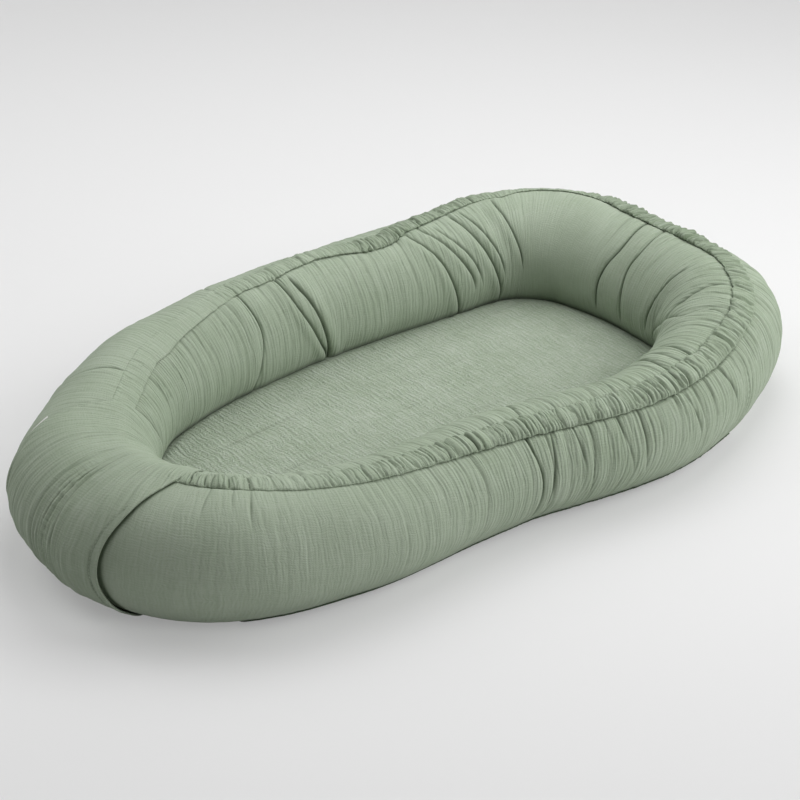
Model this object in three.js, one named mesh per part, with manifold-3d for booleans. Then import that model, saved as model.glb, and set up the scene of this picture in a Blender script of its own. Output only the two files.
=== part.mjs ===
import * as THREE from 'three';
import Module from 'manifold-3d';

const wasm = await Module();
wasm.setup();

// Infant lounger: a padded roll round a flat sleeping pad, in millimetres.
// +X runs along the length towards the head, +Y to the far side, +Z up, z = 0 is the floor.

// Driving dimensions of the roll
const rollHalfLength = 375; // centre line of the roll, middle to head
const rollHalfSpan = 190; // centre line of the roll, middle to side
const rollHalfBreadth = 66; // half the width of the roll's section
const rollHalfHeight = 65; // half the height of the roll's section
const clothWall = 1.5; // quilted double gauze with its backing
const seamGap = 0.3; // clearance between layers that touch
const foldDepth = 6; // deepest fold of the covers
const foldHalfBreadth = 15;
const columnStep = 54; // spacing of the sections along the roll
const sleeveStep = 22; // the same under the sleeve

// Driving dimensions of the drawcord and its casing
const casingBreadth = 24.2;
const casingSunk = 2.5; // how far the taut cord draws the covers in
const drawcordThick = 4;
const casingTuckIn = 20; // length of casing that lies hidden under the sleeve

// Driving dimensions of the foot end
const endGap = 16; // between the two gathered roll ends
const endRound = 42; // length over which each roll end closes
const capGap = 0.9; // between a cap and the covers, wider at the middle than inside the bend
const sleeveLoose = 1.2; // the sleeve sits this loosely on the covers
const sleeveSag = 3; // dip of the sleeve between the roll ends
const labelWidth = 22;
const labelLength = 13;
const labelThick = 0.8;
const labelLift = 0.6;

// Driving dimensions of the pad and the base
const padThick = 22.6;
const padCrown = 4;
const padEdgeGap = 1;
const baseRise = 2.4; // the middle of the base stays this far off the floor
const baseLap = 44; // the base reaches this far outside the roll's centre line

// Driving dimensions of the zip
const zipTapeWidth = 11.8;
const zipTapeThick = 0.8;
const zipOpening = 18; // width of the slot in the base
const tapeOverlap = 6; // of the tapes past the ends of the slot
const teethWidth = 1.3;
const teethThick = 1.6;
const teethSlit = 1.2;
const stopLength = 5;
const stopEase = 4.7; // from each stop to the end of the slot
const sliderLength = 12;
const sliderWidth = 9;
const sliderPlate = 0.9;
const sliderBridge = 0.6;
const sliderBridgeLength = 6;
const sliderEase = 1; // from the end of the teeth to the closed slider
const tongueLength = 4.2;
const tongueWidth = 1.8;
const tongueBelowPin = 0.6;
const pinBeforeTip = 1.2;
const pinThick = 1;
const pinDrop = 0.9; // of the pin's middle below the base
const pinLength = 5.4;
const pinClearance = 0.2;
const earRound = 1.2;
const earWidth = 1.1;
const pullLength = 24;
const pullWidth = 6.4;
const pullThick = 1;
const pullReach = 2; // from the pin to the pull's tab
const padChannelEase = 8; // of the pad's groove round the zip

// Driving dimensions of the cord lock
const lockLength = 13; // along the cord
const lockAhead = 6; // of it past the middle between the roll ends, on the pad's side
const lockWidth = 20;
const lockFloor = 1.2;
const lockRoof = 3;
const lockSlide = 12;
const cordEase = 6; // straight cord before the lock
const buttonLength = 9;
const buttonWidth = 13;
const buttonTravel = 3;
const buttonWeb = 1.8;
const buttonTop = 3.2;
const cordSpacing = 5.2;
const springLength = 7;
const springRound = 2.8;
const springWire = 0.7;
const tipThick = 5.5;
const tipLength = 9;

// Counts
const stations = 16;
const sleeveColumns = 11;
const cordSides = 8;
const springTurns = 4;
const springStepsPerTurn = 8;
const springSides = 5;
const tipSides = 10;
const pinSides = 10;

// Shares, chosen by hand
const bottomFlatShare = 0.926; // height of the section's middle, of its half height
const cordRunShare = 0.72; // height of the free cord above the section's middle
const lowerEdgeShare = 0.945; // the covers' lower edges, of the half turn from the top
const baseRingShares = [0.45, 0.62]; // where the base leaves the floor and where it is level
const baseCutBackShares = [0.62, 0.66, 0.7]; // edge and rings of the base where it is cut back
const baseHalfCutShare = 0.4; // its edge on the way there
const joinShare = 8.05; // place round the roll where its two ends meet
const sleeveFarShares = [6.3, -0.54, 20]; // place, swing and turning of the sleeve's far edge
const sleeveNearShares = [9.13, 0.3, -20];
const baseCutShares = [5.25, 5.6, 5.75, 9.5, 9.65, 10]; // places where the base is cut back
const sagShares = [0.3, -100, -5]; // spread along the roll, and the turns it lies between
const zipShare = 0.6187; // length of the zip, of the roll's centre line
const labelTurnShares = [-39, -20];
const freeCordShares = [[0.15, 0.5, 0.3], [0.5, 0.86, 0.8]]; // of the way to the lock, in x, y, z

// Each station of the roll: along, across, width, height and lean of the casing in quarter turns.
// They start at the head and run by the far side and the foot to the near side.
const stationShares = [
  [1.0, 0.05, 1.06, 1.05, 0.0],
  [0.95, 0.64, 1.08, 1.12, 0.03],
  [0.77, 0.98, 1.05, 1.08, 0.05],
  [0.43, 1.04, 0.95, 1.02, 0.11],
  [-0.1, 1.05, 0.91, 1.01, 0.15],
  [-0.56, 0.88, 0.92, 1.0, 0.35],
  [-0.81, 0.57, 0.96, 0.98, 0.46],
  [-0.95, 0.26, 1.08, 0.97, 0.45],
  [-0.995, -0.11, 1.14, 0.99, 0.34],
  [-0.96, -0.44, 1.15, 1.02, 0.24],
  [-0.82, -0.74, 1.09, 1.0, 0.18],
  [-0.52, -0.91, 0.97, 0.9, 0.08],
  [-0.04, -0.93, 0.92, 0.85, -0.08],
  [0.38, -1.07, 0.88, 0.87, -0.13],
  [0.71, -0.93, 0.91, 0.95, -0.15],
  [0.96, -0.55, 1.05, 1.03, -0.06],
];

// Main folds of the covers: place, drift towards the pad, depth inside and depth outside.
const foldShares = [
  [1.93, -0.3, 0.5, 0],
  [2.45, -0.36, 1, 0],
  [2.92, -0.28, 0.8, 0],
  [3.86, -0.24, 0.9, 0],
  [4.25, 0.06, 0.7, 0],
  [12.03, 0, 0, 0.7],
  [12.66, 0, 0, 0.45],
  [13.2, 0, 0, 0.45],
  [13.64, 0, 0, 0.5],
  [14.3, 0.3, 0.6, 0.4],
  [15.25, 0.2, 0.5, 0],
  [15.86, 0, 0.7, 0],
  [16.15, 0.08, 0.7, 0],
];
const foldLipShare = -0.3; // the cloth swells beside a fold

// Rows of the covers, as shares of the way from the casing to the lower edge, with fold strength.
const innerRowShares = [0, 0.13, 0.27, 0.41, 0.55, 0.68, 0.84, 1];
const innerFoldShares = [0, 0.55, 1, 1, 0.85, 0.45, 0, 0];
const outerRowShares = [0, 0.13, 0.28, 0.44, 0.62, 0.82, 1];
const outerFoldShares = [0.2, 0.9, 1, 0.85, 0.35, 0, 0];
const casingRiseShares = [0, 0.75, 1, 0.75, 0];
const domeShares = [0.1, 0.35, 0.65]; // of a quarter turn
const padRingShares = [0.97, 0.88, 0.68, 0.38];

const muslin = { color: 0x93a58c, roughness: 0.95, metalness: 0 };
const backing = { color: 0x84967d, roughness: 0.95, metalness: 0 };
const fibre = { color: 0xf1efe8, roughness: 1, metalness: 0 };
const cordCloth = { color: 0xd9d7cb, roughness: 0.9, metalness: 0 };
const labelCloth = { color: 0xf2f1ec, roughness: 0.8, metalness: 0 };
const greenPlastic = { color: 0x7f9079, roughness: 0.45, metalness: 0 };
const springSteel = { color: 0xb8bcc0, roughness: 0.3, metalness: 1 };
const zipMetal = { color: 0xa9adb0, roughness: 0.35, metalness: 1 };

const halfTurn = Math.PI;
const quarterTurn = halfTurn / 2;
const fullTurn = halfTurn * 2;

const part = new THREE.Group();

function addPiece(name, geometry, finish) {
  const mesh = new THREE.Mesh(geometry, new THREE.MeshStandardMaterial(finish));
  mesh.name = name;
  part.add(mesh);
  return mesh;
}

// Surfaces from grids of points

function sixfoldVolume(points, faces) {
  let sum = 0;
  for (const [a, b, c] of faces) sum += points[a].dot(points[b].clone().cross(points[c]));
  return sum;
}

// A closed surface, turned so that its faces look outwards.
function closedGeometry(points, faces) {
  const outward = sixfoldVolume(points, faces) > 0;
  const order = outward ? faces.flat() : faces.flatMap(([a, b, c]) => [a, c, b]);
  const geometry = new THREE.BufferGeometry();
  geometry.setAttribute('position',
    new THREE.Float32BufferAttribute(points.flatMap((p) => [p.x, p.y, p.z]), 3));
  geometry.setIndex(order);
  geometry.computeVertexNormals();
  return geometry;
}

function quad(faces, a, b, c, d) {
  faces.push([a, b, c], [a, c, d]);
}

// Rings of equal count joined in a row; open ends are closed by a fan, looped ones by each other.
function ringSolid(rings, looped) {
  const points = rings.flat();
  const faces = [];
  const count = rings[0].length;
  const last = looped ? rings.length : rings.length - 1;
  for (let i = 0; i < last; i++) {
    for (let j = 0; j < count; j++) {
      const here = i * count;
      const next = ((i + 1) % rings.length) * count;
      const beside = (j + 1) % count;
      quad(faces, here + j, next + j, next + beside, here + beside);
    }
  }
  if (!looped) {
    closeRing(points, faces, 0, count, true);
    closeRing(points, faces, (rings.length - 1) * count, count, false);
  }
  return closedGeometry(points, faces);
}

function closeRing(points, faces, start, count, first) {
  const middle = new THREE.Vector3();
  for (let j = 0; j < count; j++) middle.addScaledVector(points[start + j], 1 / count);
  points.push(middle);
  const hub = points.length - 1;
  for (let j = 0; j < count; j++) {
    const a = start + j;
    const b = start + ((j + 1) % count);
    faces.push(first ? [hub, a, b] : [hub, b, a]);
  }
}

// A sheet with an outer and an inner face and a rim; columns[i][j] are [outer, inner] points.
function sheetSolid(columns) {
  const rows = columns[0].length;
  const points = columns.flat(2);
  const faces = [];
  const at = (i, j, side) => (i * rows + j) * 2 + side;
  for (let i = 0; i + 1 < columns.length; i++) {
    for (let j = 0; j + 1 < rows; j++) {
      quad(faces, at(i, j, 0), at(i + 1, j, 0), at(i + 1, j + 1, 0), at(i, j + 1, 0));
      quad(faces, at(i, j, 1), at(i, j + 1, 1), at(i + 1, j + 1, 1), at(i + 1, j, 1));
    }
    const end = rows - 1;
    quad(faces, at(i, 0, 0), at(i, 0, 1), at(i + 1, 0, 1), at(i + 1, 0, 0));
    quad(faces, at(i, end, 0), at(i + 1, end, 0), at(i + 1, end, 1), at(i, end, 1));
  }
  for (let j = 0; j + 1 < rows; j++) {
    const end = columns.length - 1;
    quad(faces, at(0, j, 0), at(0, j + 1, 0), at(0, j + 1, 1), at(0, j, 1));
    quad(faces, at(end, j, 0), at(end, j, 1), at(end, j + 1, 1), at(end, j + 1, 0));
  }
  return closedGeometry(points, faces);
}

function boxBetween(low, high) {
  const size = high.clone().sub(low);
  const geometry = new THREE.BoxGeometry(size.x, size.y, size.z);
  const middle = low.clone().add(high).multiplyScalar(1 / 2);
  geometry.translate(middle.x, middle.y, middle.z);
  return geometry;
}

// Joining and cutting solids

function toSolid(geometry) {
  const flat = geometry.index ? geometry.toNonIndexed() : geometry;
  const places = flat.getAttribute('position');
  const keys = new Map();
  const vertices = [];
  const triangles = [];
  for (let i = 0; i < places.count; i++) {
    const spot = [places.getX(i), places.getY(i), places.getZ(i)];
    const key = spot.map((value) => value.toFixed(5)).join(' ');
    if (!keys.has(key)) {
      keys.set(key, vertices.length / 3);
      vertices.push(...spot);
    }
    triangles.push(keys.get(key));
  }
  const mesh = new wasm.Mesh({
    numProp: 3,
    vertProperties: new Float32Array(vertices),
    triVerts: new Uint32Array(triangles),
  });
  return new wasm.Manifold(mesh);
}

function toGeometry(solid) {
  const mesh = solid.getMesh();
  const geometry = new THREE.BufferGeometry();
  geometry.setAttribute('position', new THREE.BufferAttribute(mesh.vertProperties, 3));
  geometry.setIndex(new THREE.BufferAttribute(mesh.triVerts, 1));
  geometry.computeVertexNormals();
  return geometry;
}

// The roll's centre line and section

const centreLine = new THREE.CatmullRomCurve3(
  stationShares.map(([along, across]) =>
    new THREE.Vector3(along * rollHalfLength, across * rollHalfSpan, 0)),
  true, 'catmullrom', 0.5);
const sectionLine = new THREE.CatmullRomCurve3(
  stationShares.map(([, , wide, tall, lean]) => new THREE.Vector3(wide, tall, lean)),
  true, 'catmullrom', 0.5);

function lineShare(place) {
  const share = place / stations;
  return share - Math.floor(share);
}

// Everything about the roll at one place: centre, inward direction, half sizes and casing lean.
function sectionAt(place) {
  const share = lineShare(place);
  const tangent = centreLine.getTangent(share);
  const shape = sectionLine.getPoint(share);
  return {
    centre: centreLine.getPoint(share),
    inward: new THREE.Vector3(-tangent.y, tangent.x, 0).normalize(),
    breadth: shape.x * rollHalfBreadth,
    height: shape.y * rollHalfHeight,
    lean: shape.z * quarterTurn,
  };
}

function speedAt(place) {
  const step = 1 / stations;
  const before = centreLine.getPoint(lineShare(place - step));
  return before.distanceTo(centreLine.getPoint(lineShare(place + step))) / (step * 2);
}

// A layer lies on the floor at its own height: sunk layers are higher, raised ones lower.
function floorHeight(sink) {
  return clothWall + seamGap + sink;
}

// A point on the roll's surface, turned from straight up towards the pad and sunk below the cloth.
function skinPoint(section, turn, sink, closing = 1, floor = floorHeight(sink)) {
  const reach = (section.breadth * closing - sink) * Math.sin(turn);
  const middle = section.height * bottomFlatShare;
  const point = section.centre.clone().addScaledVector(section.inward, reach);
  point.z = Math.max(middle + (section.height * closing - sink) * Math.cos(turn), floor);
  return point;
}

// The casing's stitch lines; the cord runs along the middle one.
function casingTurns(section) {
  const width = casingBreadth / section.breadth;
  return { inner: section.lean, middle: section.lean - width / 2, outer: section.lean - width };
}

// Rows of one section, as a turn, a fold strength and how far the cord draws the cloth in.
function innerRows(section) {
  const turns = casingTurns(section);
  const end = lowerEdgeShare * halfTurn;
  const rows = innerRowShares.map((share, i) => ({
    turn: turns.inner + share * (end - turns.inner),
    drift: share,
    fold: innerFoldShares[i],
    drawn: 0,
    side: 'inside',
  }));
  return [{ turn: turns.middle, drift: 0, fold: 0, drawn: 1, side: 'inside' }, ...rows];
}

function outerRows(section) {
  const turns = casingTurns(section);
  const end = -lowerEdgeShare * halfTurn;
  const rows = outerRowShares.map((share, i) => ({
    turn: turns.outer + share * (end - turns.outer),
    drift: 0,
    fold: outerFoldShares[i],
    drawn: 0,
    side: 'outside',
  }));
  return [...rows.reverse(), { turn: turns.middle, drift: 0, fold: 0, drawn: 1, side: 'outside' }];
}

// The whole ring of rows: from the seam under the casing by the pad and underneath back up.
function ringRows(section) {
  return [...innerRows(section), ...outerRows(section).slice(0, -1)];
}

// Sections along the roll, closer together at the folds

function placeFromJoin(distance) {
  return joinShare + distance / speedAt(joinShare);
}

const coverStart = placeFromJoin(endRound + endGap / 2);
const coverEnd = placeFromJoin(-(endRound + endGap / 2)) + stations;

function foldPlace(place) {
  return place < coverStart ? place + stations : place;
}

// The sleeve's widest reach either side of the join.
const sleeveReach = {
  near: sleeveNearShares[0] + Math.abs(sleeveNearShares[1]),
  far: sleeveFarShares[0] - Math.abs(sleeveFarShares[1]),
};

function underSleeve(from, to) {
  const steps = Math.ceil((to - from) * speedAt((from + to) / 2) / sleeveStep);
  return Array.from({ length: steps + 1 }, (_, i) => THREE.MathUtils.lerp(from, to, i / steps));
}

function rollColumns() {
  const plain = (place) => ({ place, drift: 0, inside: 0, outside: 0 });
  const marks = [...underSleeve(coverStart, sleeveReach.near).map(plain)];
  const folds = foldShares
    .map(([place, drift, inside, outside]) => ({ place: foldPlace(place), drift, inside, outside }))
    .sort((a, b) => a.place - b.place);
  for (const { place, drift, inside, outside } of folds) {
    const half = foldHalfBreadth / speedAt(place);
    const lip = { drift, inside: inside * foldLipShare, outside: outside * foldLipShare };
    marks.push({ place: place - half, ...lip });
    marks.push({ place, drift, inside, outside });
    marks.push({ place: place + half, ...lip });
  }
  marks.push(...underSleeve(sleeveReach.far + stations, coverEnd).map(plain));
  return fillColumns(marks);
}

// Plain sections between the marked ones, with the drift carried over smoothly.
function fillColumns(marks) {
  const columns = [marks[0]];
  for (let i = 1; i < marks.length; i++) {
    const from = marks[i - 1];
    const to = marks[i];
    const length = (to.place - from.place) * speedAt((to.place + from.place) / 2);
    const steps = Math.max(1, Math.round(length / columnStep));
    for (let k = 1; k < steps; k++) {
      columns.push({
        place: THREE.MathUtils.lerp(from.place, to.place, k / steps),
        drift: THREE.MathUtils.lerp(from.drift, to.drift, k / steps),
        inside: 0,
        outside: 0,
      });
    }
    columns.push(to);
  }
  return columns;
}

const columns = rollColumns();

// One row of one column of the roll's skin, at a depth below the outer face.
function columnPoint(column, rowIndex, rowsOf, depth) {
  const plain = rowsOf(sectionAt(column.place))[rowIndex];
  const section = sectionAt(column.place + column.drift * plain.drift);
  const row = rowsOf(section)[rowIndex];
  const folded = foldDepth * row.fold * column[row.side];
  return skinPoint(section, row.turn, depth + folded + casingSunk * row.drawn);
}

function coverSheet(rowsOf) {
  return sheetSolid(columns.map((column) =>
    rowsOf(sectionAt(column.place)).map((_, j) => [
      columnPoint(column, j, rowsOf, 0),
      columnPoint(column, j, rowsOf, clothWall),
    ])));
}

// The filling: one long roll with two rounded ends

const fillingSink = clothWall + seamGap;

function fillingRing(column) {
  const rows = ringRows(sectionAt(column.place));
  return rows.map((_, j) => columnPoint(column, j, ringRows, fillingSink));
}

// A ring of the rounded end; closing goes from nothing at the tip to one at the cover's end.
function domeRing(side, quarterShare, sink) {
  const angle = quarterShare * quarterTurn;
  const away = endGap / 2 + sink + (endRound - sink) * (1 - Math.cos(angle));
  const section = sectionAt(placeFromJoin(side * away));
  const closing = Math.sin(angle);
  return ringRows(section).map((row) => skinPoint(section, row.turn, sink * closing, closing));
}

function makeFilling() {
  const far = domeShares.map((share) => domeRing(-1, share, fillingSink));
  const near = domeShares.map((share) => domeRing(1, share, fillingSink));
  const rings = [...near, ...columns.map(fillingRing), ...far.reverse()];
  addPiece('roll_filling', ringSolid(rings, false), fibre);
}

// A gathered cap over one end of the roll, stitched to the ends of the covers.
function makeRollEnd(name, side) {
  const edge = sectionAt(placeFromJoin(side * (endRound + endGap / 2 - capGap)));
  const rim = (sink) => ringRows(edge).map((row) =>
    skinPoint(edge, row.turn, sink + casingSunk * row.drawn));
  const inner = domeShares.map((share) => domeRing(side, share, clothWall));
  const outer = domeShares.map((share) => domeRing(side, share, 0));
  const rings = [...inner, rim(clothWall), rim(0), ...outer.reverse()];
  addPiece(name, ringSolid(side > 0 ? rings : rings.reverse(), false), backing);
}

// The drawcord's casing: an arched strip over the seam of the covers, open at both ends

function casingRows(section) {
  const turns = casingTurns(section);
  return casingRiseShares.map((rise, i) => ({
    turn: THREE.MathUtils.lerp(turns.inner, turns.outer, i / (casingRiseShares.length - 1)),
    rise,
  }));
}

const cordSink = casingSunk - seamGap - drawcordThick / 2; // depth of the cord's middle
const casingRise = drawcordThick / 2 + seamGap - cordSink; // inner face above the cover

// The casing ends at the first section of the covers that lies far enough under the sleeve.
function casingColumns() {
  const turn = casingTurns(sectionAt(joinShare)).middle;
  const near = sleeveEdge(sleeveNearShares, turn);
  const far = sleeveEdge(sleeveFarShares, turn) + stations;
  const start = near - casingTuckIn / speedAt(near);
  const end = far + casingTuckIn / speedAt(far);
  return columns.filter(({ place }) => place > start && place < end);
}

function makeCasing() {
  const sheet = casingColumns().map(({ place }) => {
    const section = sectionAt(place);
    return casingRows(section).map(({ turn, rise }) => {
      const inner = -(seamGap + (casingRise - seamGap) * rise);
      return [
        skinPoint(section, turn, inner - clothWall),
        skinPoint(section, turn, inner),
      ];
    });
  });
  addPiece('drawcord_casing', sheetSolid(sheet), muslin);
}

// The sleeve round the two roll ends

// The place of one edge of the sleeve at a turn round the section.
function sleeveEdge([place, swing, turning], turn) {
  return place + swing * Math.sin(turn - THREE.MathUtils.degToRad(turning));
}

// How far the sleeve's inner face stands off the covers, row by row.
function sleeveStandOff(index, count) {
  const lastInner = 1;
  const firstOuter = count - 1;
  if (index === 0) return casingRise + clothWall + seamGap * 2;
  if (index === lastInner || index === firstOuter) return clothWall + seamGap + sleeveLoose;
  return sleeveLoose;
}

function sagAt(place, turn) {
  const [spread, low, high] = sagShares;
  const share = (turn - THREE.MathUtils.degToRad(low)) / THREE.MathUtils.degToRad(high - low);
  const round = share > 0 && share < 1 ? Math.sin(share * halfTurn) : 0;
  return sleeveSag * round * Math.exp(-(((place - joinShare) / spread) ** 2));
}

function sleeveRing(share, raised, floor) {
  const rows = ringRows(sectionAt(joinShare));
  return rows.map((row, j) => {
    const far = sleeveEdge(sleeveFarShares, row.turn);
    const near = sleeveEdge(sleeveNearShares, row.turn);
    const place = THREE.MathUtils.lerp(near, far, share);
    const section = sectionAt(place);
    const turn = ringRows(section)[j].turn;
    const standOff = sleeveStandOff(j, rows.length) + raised - sagAt(place, turn);
    return skinPoint(section, turn, -standOff, 1, floor);
  });
}

function sleeveRings(raised, floor) {
  return Array.from({ length: sleeveColumns }, (_, i) =>
    sleeveRing(i / (sleeveColumns - 1), raised, floor));
}

const sleeveOutside = sleeveRings(clothWall, 0);

function makeSleeve() {
  const inside = sleeveRings(0, clothWall);
  addPiece('foot_sleeve', ringSolid([...sleeveOutside, ...inside.reverse()], true), muslin);
}

// A blank label caught in the sleeve's far edge, lying on the cover.
function makeLabel() {
  const [low, high] = labelTurnShares.map(THREE.MathUtils.degToRad);
  const steps = 3;
  const sheet = Array.from({ length: steps + 1 }, (_, i) =>
    Array.from({ length: steps + 1 }, (_unused, j) => {
      const middle = (low + high) / 2;
      const half = labelWidth / 2 / sectionAt(sleeveFarShares[0]).breadth;
      const turn = THREE.MathUtils.lerp(middle - half, middle + half, j / steps);
      const edge = sleeveEdge(sleeveFarShares, turn);
      const place = edge - (seamGap + labelLength * (i / steps)) / speedAt(edge);
      const section = sectionAt(place);
      return [
        skinPoint(section, turn, -(labelLift + labelThick)),
        skinPoint(section, turn, -labelLift),
      ];
    }));
  addPiece('side_label', sheetSolid(sheet), labelCloth);
}

// The drawcord, inside the casing all the way round and through the lock between the roll ends

const join = sectionAt(joinShare);
const cordHeight = join.height * (bottomFlatShare + cordRunShare);
const lockEnd = join.centre.x + lockAhead; // the pad's side of the lock
const cordRunEnd = lockEnd - lockLength - lockSlide - tipGap();

function tipGap() {
  return seamGap * 2;
}

function cordInCasing(column) {
  const section = sectionAt(column.place);
  return skinPoint(section, casingTurns(section).middle, cordSink);
}

// From the end of the covers down between the roll ends, round and through the lock.
function freeCord(from, side) {
  const y = join.centre.y - side * cordSpacing / 2;
  const straight = new THREE.Vector3(lockEnd + cordEase, y, cordHeight);
  const bends = freeCordShares.map(([x, yShare, z]) => new THREE.Vector3(
    THREE.MathUtils.lerp(from.x, straight.x, x),
    THREE.MathUtils.lerp(from.y, straight.y, yShare),
    THREE.MathUtils.lerp(from.z, straight.z, z)));
  const entry = new THREE.Vector3(lockEnd, y, cordHeight);
  const end = new THREE.Vector3(cordRunEnd, y, cordHeight);
  const curve = new THREE.CatmullRomCurve3([from, ...bends, straight, entry], false, 'centripetal');
  return [...curve.getPoints(12).slice(1), end];
}

// Rings round a path, square to it.
function tubeRings(path, radius, sides) {
  const up = new THREE.Vector3(0, 0, 1);
  return path.map((point, i) => {
    const before = path[Math.max(i - 1, 0)];
    const after = path[Math.min(i + 1, path.length - 1)];
    const along = after.clone().sub(before).normalize();
    const across = along.clone().cross(up).normalize();
    const over = across.clone().cross(along);
    return Array.from({ length: sides }, (_, k) => {
      const angle = fullTurn * k / sides;
      return point.clone()
        .addScaledVector(across, radius * Math.cos(angle))
        .addScaledVector(over, radius * Math.sin(angle));
    });
  });
}

function makeDrawcord() {
  const held = columns.map(cordInCasing);
  const near = freeCord(held[0], 1).reverse();
  const far = freeCord(held[held.length - 1], -1);
  const rings = tubeRings([...near, ...held, ...far], drawcordThick / 2, cordSides);
  addPiece('drawcord', ringSolid(rings, false), cordCloth);
  for (const [name, side] of [['drawcord_tip_near', 1], ['drawcord_tip_far', -1]]) {
    const tip = new THREE.CylinderGeometry(tipThick / 2, tipThick / 2, tipLength, tipSides);
    const mesh = addPiece(name, tip, greenPlastic);
    mesh.rotation.z = quarterTurn;
    mesh.position.set(cordRunEnd - seamGap - tipLength / 2,
      join.centre.y - side * cordSpacing / 2 * tipSpread, cordHeight);
  }
}

// The two tips lie side by side, clear of each other.
const tipSpread = (tipThick + seamGap * 2) / cordSpacing;

// The cord lock: a body with a slot for both cords and a sprung button that pinches them

const lock = (() => {
  const slotLow = cordHeight - drawcordThick / 2 - seamGap;
  const slotHigh = cordHeight + drawcordThick / 2 + seamGap;
  const webLow = slotLow - buttonWeb;
  const floor = webLow - springLength;
  return {
    slotLow,
    slotHigh,
    webLow,
    floor,
    bottom: floor - lockFloor,
    top: slotHigh + lockRoof,
    slotHalf: (cordSpacing + drawcordThick) / 2 + seamGap,
    buttonTop: slotHigh + buttonTravel + buttonTop,
    middleX: lockEnd - lockLength / 2,
    middleY: join.centre.y,
  };
})();

function lockBox(halfX, halfY, low, high) {
  return toSolid(boxBetween(
    new THREE.Vector3(lock.middleX - halfX, lock.middleY - halfY, low),
    new THREE.Vector3(lock.middleX + halfX, lock.middleY + halfY, high)));
}

function makeCordLock() {
  const body = lockBox(lockLength / 2, lockWidth / 2, lock.bottom, lock.top)
    .subtract(lockBox(buttonLength / 2 + seamGap, buttonWidth / 2 + seamGap, lock.floor,
      lock.top + lockRoof))
    .subtract(lockBox(lockLength, lock.slotHalf, lock.slotLow, lock.slotHigh));
  addPiece('cord_lock_body', toGeometry(body), greenPlastic);
  const button = lockBox(buttonLength / 2, buttonWidth / 2, lock.webLow, lock.buttonTop)
    .subtract(lockBox(buttonLength, lock.slotHalf, lock.slotLow, lock.slotHigh + buttonTravel));
  addPiece('cord_lock_button', toGeometry(button), greenPlastic);
  const low = lock.floor + seamGap + springWire / 2;
  const high = lock.webLow - seamGap - springWire / 2;
  const steps = springTurns * springStepsPerTurn;
  const radius = springRound - springWire / 2;
  const helix = Array.from({ length: steps + 1 }, (_, i) => {
    const angle = fullTurn * i / springStepsPerTurn;
    return new THREE.Vector3(
      lock.middleX + radius * Math.cos(angle),
      lock.middleY + radius * Math.sin(angle),
      THREE.MathUtils.lerp(low, high, i / steps));
  });
  const rings = tubeRings(helix, springWire / 2, springSides);
  addPiece('cord_lock_spring', ringSolid(rings, false), springSteel);
}

// The sleeping pad and its top sheet, cut to the crease where the roll meets them

const baseTop = baseRise + clothWall;
const padBottom = baseTop + seamGap;
const padTop = padBottom + padThick;
const sheetBottom = padTop + seamGap;
const sheetTop = sheetBottom + clothWall;

// Where a run of points going down the roll's inner side passes a height.
function pointAtHeight(run, height, inward) {
  for (let j = 0; j + 1 < run.length; j++) {
    const [upper, lower] = [run[j], run[j + 1]];
    if (upper.z >= height && lower.z < height) {
      const share = (upper.z - height) / (upper.z - lower.z);
      return upper.clone().lerp(lower, share).addScaledVector(inward, padEdgeGap).setZ(0);
    }
  }
  return run[run.length - 1].clone().setZ(0);
}

function creaseOutline() {
  const rows = innerRowShares.length + 1;
  const clear = columns.filter(({ place }) =>
    place > sleeveReach.near && place < sleeveReach.far + stations);
  const atRoll = clear.map((column) => {
    const run = Array.from({ length: rows }, (_, j) => columnPoint(column, j, innerRows, 0));
    return pointAtHeight(run, sheetTop, sectionAt(column.place).inward);
  });
  const atSleeve = [...sleeveOutside].reverse().map((ring, i) => {
    const place = THREE.MathUtils.lerp(sleeveReach.far, sleeveReach.near,
      i / (sleeveOutside.length - 1));
    return pointAtHeight(ring.slice(0, rows), sheetTop, sectionAt(place).inward);
  });
  return [...atRoll, ...atSleeve];
}

const crease = creaseOutline();

// A ring of the pad: a share of the way out from the middle, at a height.
function padRing(share, height) {
  return crease.map((point) => new THREE.Vector3(point.x * share, point.y * share, height));
}

function crownAt(share) {
  return padCrown * (1 - share ** 2);
}

// The oblong outline of the zip's slot or the pad's groove, in step with a point round the pad.
function oblongPoint(point, halfLength, halfWidth, height) {
  const along = point.x / rollHalfLength;
  const across = point.y / rollHalfSpan;
  const reach = Math.max(Math.abs(along), Math.abs(across));
  return new THREE.Vector3(halfLength * along / reach, halfWidth * across / reach, height);
}

const teethHalf = rollHalfLength * zipShare;
const slotHalfLength = teethHalf + seamGap + stopLength + stopEase;
const tapeHalfLength = slotHalfLength + tapeOverlap;
const teethOuter = teethSlit / 2 + teethWidth;
const tapeInner = teethOuter + seamGap;
const tapeOuter = tapeInner + zipTapeWidth;
const tapeBottom = baseTop + seamGap;
const teethMiddle = tapeBottom + zipTapeThick / 2;
const teethBottom = teethMiddle - teethThick / 2;
const teethTop = teethMiddle + teethThick / 2;
const sliderTop = teethTop + seamGap + sliderPlate;

function makePad() {
  const halfLength = tapeHalfLength + padChannelEase;
  const halfWidth = tapeOuter + padChannelEase;
  const ceiling = sliderTop + seamGap * 2;
  const groove = (height) => crease.map((p) => oblongPoint(p, halfLength, halfWidth, height));
  const top = padRingShares.map((share) => padRing(share, padTop + crownAt(share)));
  const rings = [
    groove(ceiling),
    groove(padBottom),
    padRing(1, padBottom),
    padRing(1, padTop),
    ...top,
  ];
  addPiece('sleeping_pad', ringSolid(rings, false), fibre);
}

function makeTopSheet() {
  const shares = [1, ...padRingShares];
  const lower = shares.map((share) => padRing(share, sheetBottom + crownAt(share)));
  const upper = shares.map((share) => padRing(share, sheetTop + crownAt(share)));
  addPiece('sleep_panel', ringSolid([...lower.reverse(), ...upper], false), muslin);
}

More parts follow.
